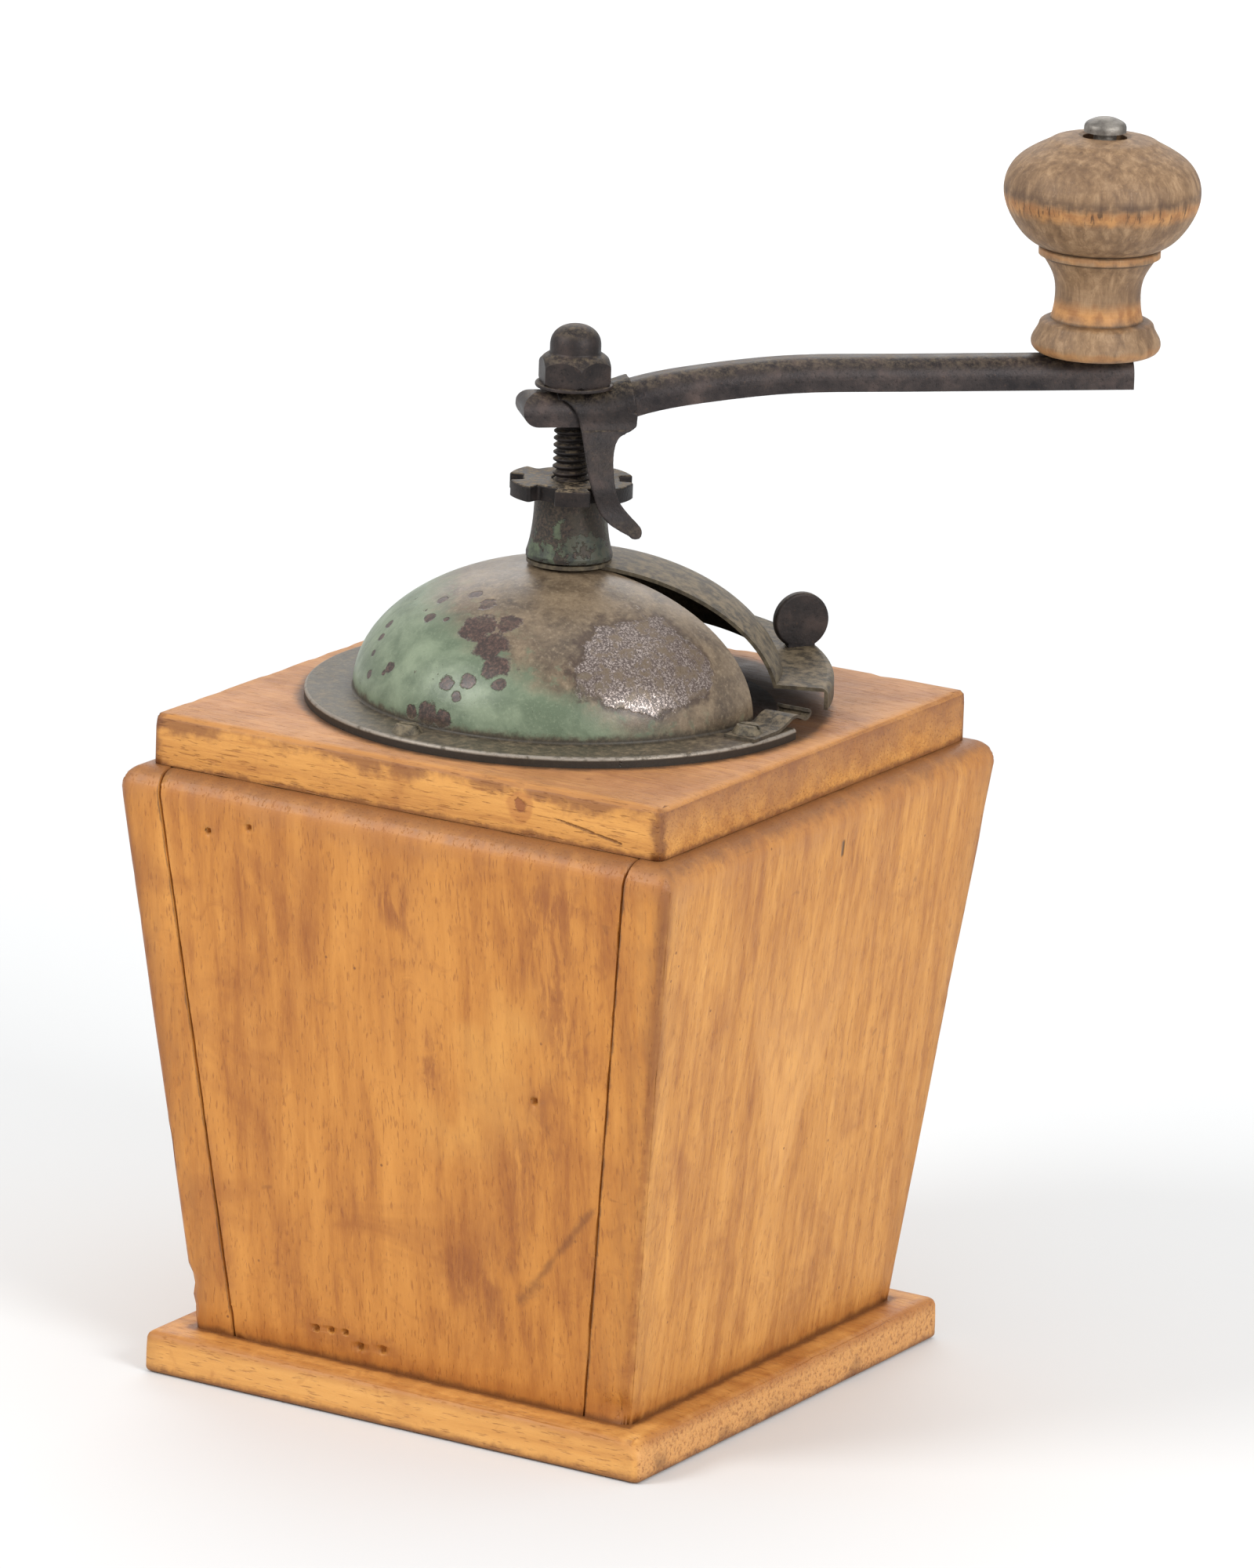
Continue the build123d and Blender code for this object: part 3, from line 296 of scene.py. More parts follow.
def body_wood():
    paint = Paint("case_body_wood")
    colour, height = wood_base(paint, 2)
    ragged = paint.noise(5.0, detail=5.0, rough=0.65)
    coarse = paint.noise(16.0, detail=3.0)
    half = paint.plus(paint.both(paint.minus(paint.z, BODY_Z), LEAN), BODY_LOW_HALF)
    from_x = paint.minus(half, paint.size(paint.x))
    from_y = paint.minus(half, paint.size(paint.y))
    corner = paint.either(from_x, from_y)
    top = paint.minus(LEDGE_Z, paint.z)
    foot = paint.minus(paint.z, BODY_Z)
    wander = paint.swing(coarse, 14.0)
    speck = paint.swing(ragged, 6.0)

    # annual rings cut through on the right face: one long pale flame between nested arcs
    on_right = paint.fade(paint.nx, 0.6, 0.9)
    across = paint.size(paint.plus(paint.y, 5.0))
    arch = paint.minus(paint.minus(paint.z, 50.0),
                       paint.both(paint.maths("POWER", across, 1.12), 1.55))
    arch = paint.plus(arch, paint.both(wander, 0.7))
    rings = paint.maths("SINE", paint.both(arch, 0.42))
    flame = paint.both(paint.fade(arch, -2.5, 2.5), paint.fade(paint.z, 112.0, 74.0))
    inner = paint.both(paint.fade(rings, -0.6, 1.0), paint.fade(arch, -45.0, 10.0))
    colour = paint.mix(paint.both(flame, on_right, 0.50), colour, srgb(222, 162, 92))
    colour = paint.mix(paint.both(inner, on_right, 0.13), colour, HONEY_BROWN)

    drawn = paint.noise(1.7, detail=5.0, rough=0.7, warp=0.3, source=paint.stretched(1.0, 1.0, 0.06))
    dark_fibre = paint.fade(drawn, 0.50, 0.70)
    pale_fibre = paint.fade(drawn, 0.48, 0.32)
    colour = paint.mix(paint.both(dark_fibre, on_right, 0.42), colour, HONEY_BROWN)
    colour = paint.mix(paint.both(pale_fibre, on_right, 0.35), colour, HONEY_PALE)

    # the near-left face is oranger, with broad brown smears down it
    on_left = paint.fade(paint.ny, -0.6, -0.9)
    colour = paint.mix(on_left, colour, (0.94, 0.84, 0.64, 1.0), "MULTIPLY")
    veins = paint.noise(2.4, detail=5.0, rough=0.7, warp=0.5, source=paint.stretched(1.0, 1.0, 0.16))
    torn = paint.plus(0.25, paint.fade(veins, 0.42, 0.60))
    smear = paint.line((41.0, -66.0, 131.0), (40.5, -64.0, 92.0), 11.0, coarse, 0.7)
    below = paint.line((37.0, -62.0, 78.0), (26.0, -59.0, 44.0), 9.0, coarse, 0.6)
    smear = paint.either(smear, paint.both(below, 0.8))
    smear = paint.either(smear, paint.line((0.0, -66.0, 115.0), (7.0, -65.5, 106.0), 7.0, coarse, 0.7))
    smear = paint.either(smear, paint.line((8.0, -63.0, 87.0), (9.5, -62.0, 78.0), 4.0, ragged, 0.7))
    smear = paint.either(smear, paint.line((14.0, -57.5, 37.0), (23.0, -57.0, 28.0), 7.0, coarse, 0.7))
    colour = paint.stain(colour, paint.both(smear, torn, on_left), srgb(140, 80, 34), 0.62)
    scratch = paint.line((47.5, -59.7, 56.0), (29.7, -57.2, 33.2), 1.5, ragged, 0.6)
    scratch = paint.either(scratch, paint.line((33.0, -57.4, 37.0), (29.0, -57.1, 32.5), 2.2, ragged, 0.6))
    colour = paint.stain(colour, paint.both(scratch, on_left), STAIN, 0.55)
    fresh = paint.line((17.0, -61.0, 70.0), (30.0, -63.5, 92.0), 13.0, coarse, 0.6)
    colour = paint.mix(paint.both(fresh, on_left, 0.35), colour, srgb(224, 164, 84))

    # handled edges: brown along the corners, darker along the ledge; a dark joint at the foot, with painted
    # shade above it
    dull = paint.fade(paint.plus(corner, paint.both(wander, 0.5)), 11.5, 3.0)
    dull = paint.both(dull, paint.fade(veins, 0.30, 0.62))
    colour = paint.stain(colour, dull, srgb(150, 100, 52), 0.36)
    edge = paint.fade(paint.plus(corner, paint.both(speck, 0.9)), 2.6, 0.4)
    colour = paint.stain(colour, edge, HONEY_BROWN, 0.7)
    dark_corner = paint.fade(paint.plus(corner, paint.both(wander, 0.30)), 4.2, 0.2)
    dark_corner = paint.both(dark_corner, paint.fade(top, 110.0, 12.0))
    colour = paint.stain(colour, dark_corner, srgb(112, 66, 34), 0.62)
    from_seam = paint.size(paint.minus(from_x, SEAM_INSET))
    seam_grime = paint.fade(paint.plus(from_seam, paint.both(speck, 0.25)), 0.55, 0.05)
    faces_y = paint.fade(paint.size(paint.ny), 0.5, 0.8)
    colour = paint.stain(colour, paint.both(seam_grime, faces_y), GRIME, 0.65)
    ledge = paint.fade(paint.plus(top, paint.plus(speck, wander)), 10.0, 1.0)
    colour = paint.stain(colour, ledge, srgb(158, 104, 62), 0.52)
    rim = paint.fade(paint.plus(top, speck), 3.6, 0.0)
    colour = paint.stain(colour, rim, srgb(120, 78, 46), 0.75)
    joint = paint.fade(paint.plus(foot, paint.both(speck, 0.5)), 1.8, 0.1)
    colour = paint.stain(colour, joint, GRIME, 0.85)
    # painted shade on the walls just above the base, in the corner where they meet it
    foot_shade = paint.fade(paint.plus(foot, speck), 6.0, 0.5)
    colour = paint.stain(colour, foot_shade, HONEY_BROWN, 0.5)

    # small nail holes, bruises and specks
    marks = paint.spots(NAIL_STAINS, 0.25, ragged)
    halo = paint.line((-24.0, -55.6, 15.5), (-5.0, -55.4, 13.8), 4.2, ragged, 0.6)
    colour = paint.stain(colour, paint.both(halo, on_left), HONEY_BROWN, 0.6)
    dent = paint.line((-56.2, -56.0, 22.5), (-54.6, -55.2, 13.0), 2.0, ragged, 0.35)
    marks = paint.either(marks, paint.both(dent, 0.85))
    streak = paint.line((67.3, 3.8, 124.6), (67.1, 3.9, 122.0), 0.9)
    marks = paint.either(marks, paint.both(streak, 0.9))
    colour = paint.stain(colour, marks, GRIME, 0.95)
    bruise = paint.noise(7.0, detail=2.0, rough=0.4, warp=1.2)
    colour = paint.stain(colour, paint.fade(bruise, 0.72, 0.80), STAIN, 0.35)
    dots = paint.fade(paint.cells(6.0), 0.075, 0.03)
    colour = paint.stain(colour, paint.both(dots, paint.fade(coarse, 0.46, 0.60)), STAIN, 0.75)

    rough = paint.plus(0.40, paint.both(ragged, 0.22))
    height = paint.minus(paint.both(height, 0.45), paint.both(marks, 1.0))
    height = paint.plus(height, paint.both(ragged, 0.25))
    return paint.finish(colour, rough, height, depth=0.35)


def lid_wood():
    paint = Paint("case_lid_wood")
    colour, height = wood_base(paint, 0, blotch=0.7)
    ragged = paint.noise(4.0, detail=5.0, rough=0.68)
    coarse = paint.noise(14.0, detail=4.0, rough=0.6)
    speck = paint.swing(ragged, 6.0)
    wander = paint.swing(coarse, 16.0)
    on_top = paint.fade(paint.nz, 0.5, 0.9)
    worn = paint.mix(paint.fade(coarse, 0.35, 0.66), srgb(146, 98, 66), srgb(178, 126, 86))
    colour = paint.mix(paint.both(on_top, 0.72), colour, worn)
    fibres = paint.noise(0.8, detail=4.0, rough=0.7, source=paint.stretched(0.05, 1.0, 1.0))
    colour = paint.mix(paint.both(paint.fade(fibres, 0.50, 0.68), 0.40), colour, HONEY_BROWN)
    colour = paint.mix(paint.both(paint.fade(fibres, 0.48, 0.34), 0.25), colour, HONEY_PALE)
    reach = paint.either(paint.size(paint.x), paint.size(paint.y))
    inset = paint.minus(LID_HALF, reach)
    pale_rim = paint.fade(paint.plus(inset, speck), 4.0, 0.6)
    colour = paint.mix(paint.both(pale_rim, on_top, 0.55), colour, HONEY)
    drop = paint.minus(LID_Z, paint.z)
    on_side = paint.minus(1.0, on_top)
    lip = paint.fade(paint.plus(drop, paint.plus(speck, paint.both(wander, 0.75))), 3.6, 0.2)
    colour = paint.stain(colour, paint.both(lip, on_side), srgb(112, 64, 36), 0.72)
    right = paint.both(paint.fade(paint.nx, 0.6, 0.9), paint.fade(paint.plus(drop, wander), 11.0, 3.0))
    colour = paint.stain(colour, right, srgb(140, 92, 58), 0.62)
    low = paint.fade(paint.plus(drop, paint.both(speck, 0.6)), 9.3, 10.8)
    colour = paint.stain(colour, paint.both(low, on_side), STAIN, 0.75)
    corner = paint.either(paint.minus(LID_HALF, paint.size(paint.x)),
                          paint.minus(LID_HALF, paint.size(paint.y)))
    tip = paint.fade(paint.plus(corner, speck), 3.2, 0.6)
    colour = paint.stain(colour, tip, STAIN, 0.75)
    knot_centre = (28.5, -62.5, 140.0)
    knot = paint.spot(knot_centre, 1.7, 0.55, ragged)
    colour = paint.stain(colour, paint.spot(knot_centre, 3.2, 0.5, coarse), srgb(160, 96, 48), 0.5)
    colour = paint.stain(colour, knot, srgb(122, 62, 32), 0.7)
    crack = paint.line((36.5, -62.5, 138.9), (53.0, -62.5, 136.2), 0.35, ragged, 0.8)
    colour = paint.stain(colour, crack, STAIN, 0.75)
    # grime that gathered against the hopper's flange, and painted shade on the wood inside the hopper's
    # opening
    radius = paint.from_axis()
    ring = paint.both(paint.fade(paint.plus(radius, paint.both(speck, 0.6)), 57.8, 55.2), on_top)
    colour = paint.stain(colour, ring, GRIME, 0.75)
    # painted shade: the wood inside the hopper's opening, under the dome, made nearly black
    inside = paint.fade(radius, 45.5, 44.5)
    colour = paint.stain(colour, inside, srgb(48, 34, 25), 0.9)
    dirt = paint.both(paint.fade(ragged, 0.60, 0.72), paint.either(on_top, 0.25))
    colour = paint.stain(colour, dirt, STAIN, 0.35)
    rough = paint.plus(0.46, paint.both(ragged, 0.25))
    height = paint.plus(paint.both(height, 0.6), paint.both(ragged, 0.5))
    height = paint.minus(height, paint.either(paint.both(knot, 0.5), crack))
    return paint.finish(colour, rough, height, depth=0.4)


def base_wood():
    paint = Paint("case_base_wood")
    colour, height = wood_base(paint, 0, srgb(222, 164, 92), srgb(202, 142, 72), srgb(158, 98, 46))
    ragged = paint.noise(4.0, detail=5.0, rough=0.68)
    coarse = paint.noise(15.0, detail=3.0)
    speck = paint.swing(ragged, 6.0)
    # end grain on the two faces that cut the fibres
    on_end = paint.fade(paint.size(paint.nx), 0.6, 0.9)
    pits = paint.noise(0.9, detail=2.0, rough=0.6)
    end = paint.mix(paint.fade(pits, 0.46, 0.72), srgb(208, 150, 90), srgb(150, 98, 56))
    colour = paint.mix(paint.both(on_end, 0.8), colour, end)
    dark_patch = paint.both(on_end, paint.fade(coarse, 0.5, 0.62),
                            paint.fade(paint.plus(paint.z, speck), 6.5, 2.0))
    colour = paint.stain(colour, dark_patch, srgb(98, 64, 40), 0.6)
    reach = paint.either(paint.size(paint.x), paint.size(paint.y))
    inset = paint.minus(BASE_HALF, reach)
    under = paint.fade(paint.plus(paint.z, paint.both(speck, 0.6)), 2.4, 0.3)
    colour = paint.stain(colour, under, STAIN, 0.7)
    shoulder = paint.both(paint.fade(paint.plus(inset, speck), 4.5, 0.5), paint.fade(paint.z, 6.0, 8.6))
    colour = paint.stain(colour, shoulder, HONEY_BROWN, 0.65)
    on_top = paint.fade(paint.nz, 0.5, 0.9)
    gutter = paint.fade(paint.plus(reach, paint.both(speck, 0.45)), 56.4, 54.8)
    colour = paint.stain(colour, paint.both(gutter, on_top), GRIME, 0.85)
    # painted shade on the base's top under the case's flaring walls, darkest next to the foot
    base_top_shade = paint.fade(paint.plus(reach, speck), 60.5, 55.0)
    colour = paint.stain(colour, paint.both(base_top_shade, on_top), HONEY_BROWN, 0.5)
    corner = paint.either(paint.minus(BASE_HALF, paint.size(paint.x)),
                          paint.minus(BASE_HALF, paint.size(paint.y)))
    tips = paint.both(paint.fade(paint.plus(corner, speck), 5.5, 1.0), paint.fade(coarse, 0.42, 0.58))
    colour = paint.stain(colour, paint.both(tips, 0.5), srgb(96, 58, 32), 0.8)
    rough = paint.plus(0.44, paint.both(ragged, 0.25))
    pit_height = paint.both(paint.minus(0.5, pits), on_end, 0.8)
    height = paint.plus(paint.plus(paint.both(height, 0.5), paint.both(ragged, 0.4)), pit_height)
    return paint.finish(colour, rough, height, depth=0.4)


def drawer_wood():
    paint = Paint("drawer_box_wood")
    colour, height = wood_base(paint, 1, srgb(214, 176, 126), srgb(196, 152, 100), srgb(158, 112, 68), 0.4)
    dust = paint.noise(3.0, detail=5.0, rough=0.7)
    colour = paint.stain(colour, paint.fade(dust, 0.52, 0.7), srgb(84, 54, 34), 0.45)
    return paint.finish(colour, paint.plus(0.6, paint.both(dust, 0.2)), height, depth=0.2)


def turned_wood(name):
    """Turned beech gone grey-brown with age and hands: its colour, its height and its fine dirt."""
    paint = Paint(name)
    upright = paint.stretched(1.0, 1.0, 0.22)
    streak = paint.noise(1.8, detail=5.0, rough=0.65, warp=0.3, source=upright)
    cloud = paint.noise(9.0, detail=4.0, rough=0.6, warp=0.5)
    colour = paint.ramp(streak, (0.30, srgb(98, 74, 53)), (0.50, srgb(130, 102, 74)),
                        (0.70, srgb(162, 132, 100)))
    colour = paint.mix(paint.both(paint.fade(cloud, 0.50, 0.70), 0.5), colour, srgb(92, 69, 51))
    colour = paint.mix(paint.both(paint.fade(cloud, 0.46, 0.30), 0.4), colour, srgb(142, 114, 84))
    dirt = paint.noise(0.9, detail=4.0, rough=0.7, source=upright)
    colour = paint.stain(colour, paint.fade(dirt, 0.60, 0.74), srgb(62, 47, 36), 0.5)
    turning = paint.noise(0.5, detail=1.0, source=paint.stretched(0.03, 0.03, 1.0))
    height = paint.plus(paint.both(turning, 0.4), paint.both(streak, 0.5))
    colour = paint.mix(paint.both(paint.fade(dirt, 0.42, 0.30), 0.3), colour, srgb(172, 142, 110))
    return paint, colour, height, dirt


def knob_wood():
    """The grip's bands: grimy above the bulb's middle, rubbed to orange wood below it and at the waist."""
    paint, colour, height, dirt = turned_wood("knob_wood")
    ragged = paint.noise(3.0, detail=4.0, rough=0.6)
    ticks = paint.noise(0.8, detail=3.0, rough=0.6, source=paint.stretched(1.0, 1.0, 0.1))
    level = paint.plus(paint.minus(paint.z, KNOB_Z),
                        paint.swing(ragged, 3.0))
    orange = paint.mix(paint.fade(ragged, 0.35, 0.65), srgb(150, 100, 56), srgb(190, 136, 80))
    colour = paint.mix(paint.both(paint.near(level, 32.6, 2.6), 0.75), colour, orange)
    colour = paint.mix(paint.both(paint.near(level, 9.4, 3.2), 0.85), colour, orange)
    colour = paint.mix(paint.both(paint.near(level, 21.8, 1.0), 0.5), colour, orange)
    colour = paint.mix(paint.both(paint.near(level, 1.2, 1.5), 0.5), colour, orange)
    colour = paint.stain(colour, paint.both(paint.near(level, 35.2, 2.0), paint.fade(ragged, 0.3, 0.6)),
                     srgb(70, 50, 38), 0.7)
    colour = paint.stain(colour, paint.both(paint.near(level, 33.0, 3.4), paint.fade(ticks, 0.54, 0.66)),
                     srgb(54, 38, 28), 0.75)
    for groove, reach, amount in ((20.5, 0.4, 0.55), (22.8, 0.5, 0.7), (7.2, 0.6, 0.6)):
        cut = paint.near(paint.minus(paint.z, KNOB_Z), groove, reach)
        colour = paint.stain(colour, cut, srgb(44, 32, 24), amount)
    return paint.finish(colour, paint.plus(0.5, paint.both(dirt, 0.25)), height, depth=0.2)


def drawer_knob_wood():
    paint, colour, height, dirt = turned_wood("drawer_knob_wood")
    return paint.finish(colour, paint.plus(0.5, paint.both(dirt, 0.2)), height, depth=0.2)


# ---------------------------------------------------------------- metal
DUST = srgb(150, 131, 104)
STEEL_SHADES = ((27, 24, 25), (43, 38, 37), (62, 53, 50))


def rusty_steel(name, dust=0.55, shine=0.4, seed=0.0, tone=1.0):
    """Dark oxidised steel with a little rust, rubbed edges and tan dust on what faces up."""
    paint = Paint(name)
    moved = paint.vector("ADD", paint.place, (seed, seed * 0.7, 0.0))
    large = paint.noise(6.0, detail=4.0, rough=0.6, source=moved)
    small = paint.noise(0.8, detail=4.0, rough=0.7, source=moved)
    dark, middle, light = (srgb(*(part * tone for part in shade_of)) for shade_of in STEEL_SHADES)
    colour = paint.ramp(large, (0.30, dark), (0.52, middle), (0.72, light))
    colour = paint.stain(colour, paint.fade(small, 0.58, 0.74), srgb(84, 66, 54), 0.45)
    colour = paint.stain(colour, paint.fade(small, 0.44, 0.32), srgb(20, 18, 18), 0.6)
    up = paint.fade(paint.nz, 0.35, 0.95)
    flour = paint.noise(1.3, detail=6.0, rough=0.75)
    settled = paint.both(up, paint.fade(flour, 0.40, 0.66), dust)
    colour = paint.mix(settled, colour, DUST)
    rough = paint.plus(0.62 - shine * 0.5, paint.both(settled, 0.4))
    rough = paint.plus(paint.both(large, shine * 0.6), rough)
    height = paint.plus(paint.both(large, 0.5), paint.both(small, 0.8))
    metal = paint.minus(0.55, paint.both(settled, 0.55))
    return paint.finish(colour, rough, height, depth=0.12, metal=metal)


def bright_steel(name):
    """Old zinc-grey steel for screws, pins and bridges."""
    paint = Paint(name)
    large = paint.noise(3.0, detail=4.0, rough=0.6)
    small = paint.noise(0.5, detail=3.0, rough=0.7)
    colour = paint.ramp(large, (0.30, srgb(88, 84, 80)), (0.55, srgb(134, 129, 122)),
                        (0.75, srgb(160, 155, 148)))
    colour = paint.stain(colour, paint.fade(small, 0.58, 0.72), srgb(78, 58, 44), 0.5)
    rough = paint.plus(0.34, paint.both(large, 0.3))
    return paint.finish(colour, rough, small, depth=0.08, metal=0.85)


def cast_iron():
    """Raw cast iron for the mill inside the case."""
    paint = Paint("mill_cast_iron")
    sand = paint.noise(0.7, detail=4.0, rough=0.7)
    large = paint.noise(8.0, detail=3.0)
    colour = paint.ramp(large, (0.3, srgb(54, 50, 48)), (0.7, srgb(88, 80, 74)))
    colour = paint.stain(colour, paint.fade(sand, 0.56, 0.72), srgb(110, 74, 48), 0.45)
    return paint.finish(colour, paint.plus(0.5, paint.both(sand, 0.3)), sand, depth=0.25, metal=0.6)


# ---------------------------------------------------------------- painted sheet
GREEN = srgb(124, 136, 112)
GREEN_DEEP = srgb(90, 103, 82)


def hopper_paint():
    """Sage green paint: chipped to rust, browned over the crown, rubbed to bare metal at one place."""
    paint = Paint("hopper_paint")
    fine = paint.noise(0.7, detail=4.0, rough=0.7)
    ragged = paint.noise(2.6, detail=5.0, rough=0.66)
    coarse = paint.noise(9.0, detail=4.0, rough=0.6, warp=0.4)
    broad = paint.noise(20.0, detail=3.0)
    green = paint.mix(paint.fade(coarse, 0.35, 0.7), GREEN_DEEP, GREEN)
    green = paint.mix(paint.both(paint.fade(fine, 0.5, 0.75), 0.35), green, srgb(146, 156, 130))

    # the brown patina lies over the crown and the side towards +X
    side = paint.plus(paint.both(paint.x, 0.75), paint.both(paint.y, 0.30))
    lift = paint.both(paint.minus(paint.z, 158.8), 2.1)
    brown_in = paint.plus(paint.plus(side, lift), paint.swing(coarse, 26.0))
    brown = paint.fade(brown_in, -7.0, 9.0)
    far_side = paint.both(paint.fade(paint.y, -4.0, 14.0), 0.75)
    brown = paint.either(brown, far_side)
    patina = paint.ramp(paint.noise(6.5, detail=7.0, rough=0.62, warp=0.5),
                        (0.30, srgb(72, 60, 49)), (0.50, srgb(102, 87, 70)), (0.70, srgb(128, 111, 90)))
    grain = paint.noise(0.9, detail=5.0, rough=0.75)
    patina = paint.mix(paint.both(paint.fade(grain, 0.50, 0.68), 0.5), patina, srgb(146, 130, 108))
    patina = paint.mix(paint.both(paint.fade(grain, 0.46, 0.32), 0.5), patina, srgb(58, 47, 38))
    colour = paint.mix(brown, green, patina)
    streaky = paint.both(paint.near(brown_in, 4.0, 14.0), paint.fade(ragged, 0.50, 0.64))
    colour = paint.mix(paint.both(streaky, 0.75), colour, GREEN_DEEP)

    # bare speckled metal with a dark outline
    patch = (30.5, -19.5, 162.0 * PATCH_STRETCH)
    spread = paint.vector("DISTANCE", paint.stretched(1.0, 1.0, PATCH_STRETCH), patch)
    spread = paint.plus(spread, paint.swing(coarse, 16.0))
    spread = paint.plus(spread, paint.swing(ragged, 6.0))
    bare = paint.fade(spread, 15.2, 14.2)
    outline = paint.near(spread, 15.4, 1.9)
    speckle = paint.fade(paint.noise(0.45, detail=3.0, rough=0.85), 0.47, 0.62)
    metal_tone = paint.mix(speckle, srgb(72, 60, 57), srgb(178, 166, 160))
    metal_tone = paint.mix(paint.fade(ragged, 0.48, 0.62), metal_tone, srgb(104, 90, 76))
    colour = paint.mix(paint.both(bare, 0.85), colour, metal_tone)
    colour = paint.stain(colour, paint.both(outline, paint.fade(ragged, 0.35, 0.55)), srgb(56, 40, 32), 0.85)

    # chips down to dark rust
    chips = paint.spots(CHIPS, 0.42, ragged)
    stray = paint.noise(3.4, detail=3.0, rough=0.55)
    strays = paint.both(paint.fade(stray, 0.70, 0.73), paint.fade(brown, 0.9, 0.2))
    chips = paint.either(chips, strays)
    rust = paint.mix(paint.fade(fine, 0.4, 0.7), srgb(50, 38, 36), srgb(96, 72, 64))
    colour = paint.mix(paint.both(chips, 0.95), colour, rust)

    # the flange: greasy olive dust, darker in the fillet, rubbed bright along the rim
    radius = paint.from_axis()
    low = paint.fade(paint.plus(paint.z, paint.swing(ragged, 3.4)), 149.6, 147.9)
    dusty = paint.ramp(paint.noise(1.2, detail=6.0, rough=0.78),
                       (0.30, srgb(46, 39, 31)), (0.52, srgb(74, 63, 50)), (0.72, srgb(116, 101, 80)))
    colour = paint.mix(paint.both(low, 0.92), colour, dusty)
    cling = paint.fade(paint.plus(radius, paint.both(ragged, 3.0)), 49.0, 46.0)
    cling = paint.both(cling, paint.fade(paint.z, 148.4, 147.5))
    colour = paint.stain(colour, cling, srgb(46, 40, 32), 0.6)
    # painted shadow along the lower part of the flange's turned-down rim, mixed with grime; only its top
    # edge stays bright
    skirt_shadow_and_grime = paint.fade(radius, FLANGE_RIM - 0.4, FLANGE_RIM - 0.1)
    skirt_shadow_and_grime = paint.both(skirt_shadow_and_grime, paint.fade(paint.z, 146.7, 146.2))
    colour = paint.stain(colour, skirt_shadow_and_grime, srgb(38, 31, 25), 0.9)
    rim = paint.both(paint.fade(radius, FLANGE_RIM - 0.7, FLANGE_RIM - 0.2),
                     paint.fade(paint.z, 146.3, 146.7), paint.fade(ragged, 0.30, 0.50))
    colour = paint.mix(paint.both(rim, 0.8), colour, srgb(160, 151, 140))
    dust_up = paint.both(paint.fade(paint.nz, 0.75, 1.0), paint.fade(ragged, 0.45, 0.7))
    colour = paint.mix(paint.both(dust_up, 0.30), colour, DUST)
    grit = paint.fade(paint.noise(0.5, detail=2.0), 0.66, 0.76)
    colour = paint.stain(colour, grit, srgb(50, 42, 34), 0.35)

    rough = paint.plus(0.26, paint.both(ragged, 0.26))
    rough = paint.minus(rough, paint.both(bare, 0.05))
    rough = paint.plus(rough, paint.both(low, 0.15))
    height = paint.plus(paint.both(ragged, 0.30), paint.both(fine, 0.25))
    height = paint.minus(height, paint.both(chips, 0.8))
    height = paint.minus(height, paint.both(bare, 0.5))
    metallic = paint.either(paint.both(bare, speckle, 0.75), paint.both(rim, 0.6))
    return paint.finish(colour, rough, height, depth=0.16, metal=metallic)


def neck_paint():
    """The same green on the cast neck, scabbed with dark rust below the nut."""
    paint = Paint("neck_paint")
    ragged = paint.noise(2.2, detail=5.0, rough=0.66)
    fine = paint.noise(0.6, detail=4.0, rough=0.7)
    colour = paint.mix(paint.fade(ragged, 0.35, 0.65), srgb(36, 39, 32), srgb(80, 90, 68))
    scabs_in = paint.noise(3.6, detail=5.0, rough=0.62)
    scabs_in = paint.plus(scabs_in, paint.both(paint.fade(paint.z, 178.0, 190.0), 0.20))
    scabs = paint.fade(scabs_in, 0.51, 0.56)
    rust = paint.mix(paint.fade(fine, 0.4, 0.66), srgb(42, 36, 34), srgb(80, 66, 56))
    colour = paint.mix(paint.both(scabs, 0.92), colour, rust)
    turned = paint.fade(paint.plus(paint.nx, paint.both(paint.ny, 0.35)), -0.35, 0.35)
    colour = paint.mix(paint.both(turned, paint.fade(ragged, 0.42, 0.55), 0.75), colour, srgb(58, 52, 44))
    # painted shade: the neck's foot darkened where it stands over the dark gap above the dome
    foot = paint.fade(paint.plus(paint.z, paint.both(ragged, 1.6)), 178.6, 177.0)
    colour = paint.stain(colour, foot, srgb(38, 32, 26), 0.7)
    rough = paint.plus(0.40, paint.both(ragged, 0.25))
    height = paint.minus(paint.both(ragged, 0.6), paint.both(scabs, 0.6))
    return paint.finish(colour, rough, height, depth=0.2, metal=paint.both(scabs, 0.35))


def dusty_sheet(name, base_tone, deep_tone, dust=0.5):
    """Old olive-brown sheet under a coat of flour-fine dust, with lighter worn edges."""
    paint = Paint(name)
    ragged = paint.noise(2.2, detail=5.0, rough=0.68)
    fine = paint.noise(0.55, detail=3.0, rough=0.7)
    colour = paint.mix(paint.fade(ragged, 0.34, 0.66), deep_tone, base_tone)
    up = paint.fade(paint.nz, 0.15, 0.9)
    settled = paint.both(up, paint.fade(ragged, 0.38, 0.66), dust)
    colour = paint.mix(settled, colour, DUST)
    colour = paint.stain(colour, paint.fade(fine, 0.58, 0.72), srgb(48, 40, 30), 0.45)
    rough = paint.plus(0.46, paint.both(ragged, 0.28))
    height = paint.plus(paint.both(ragged, 0.5), paint.both(fine, 0.6))
    return paint.finish(colour, rough, height, depth=0.14, metal=0.15)


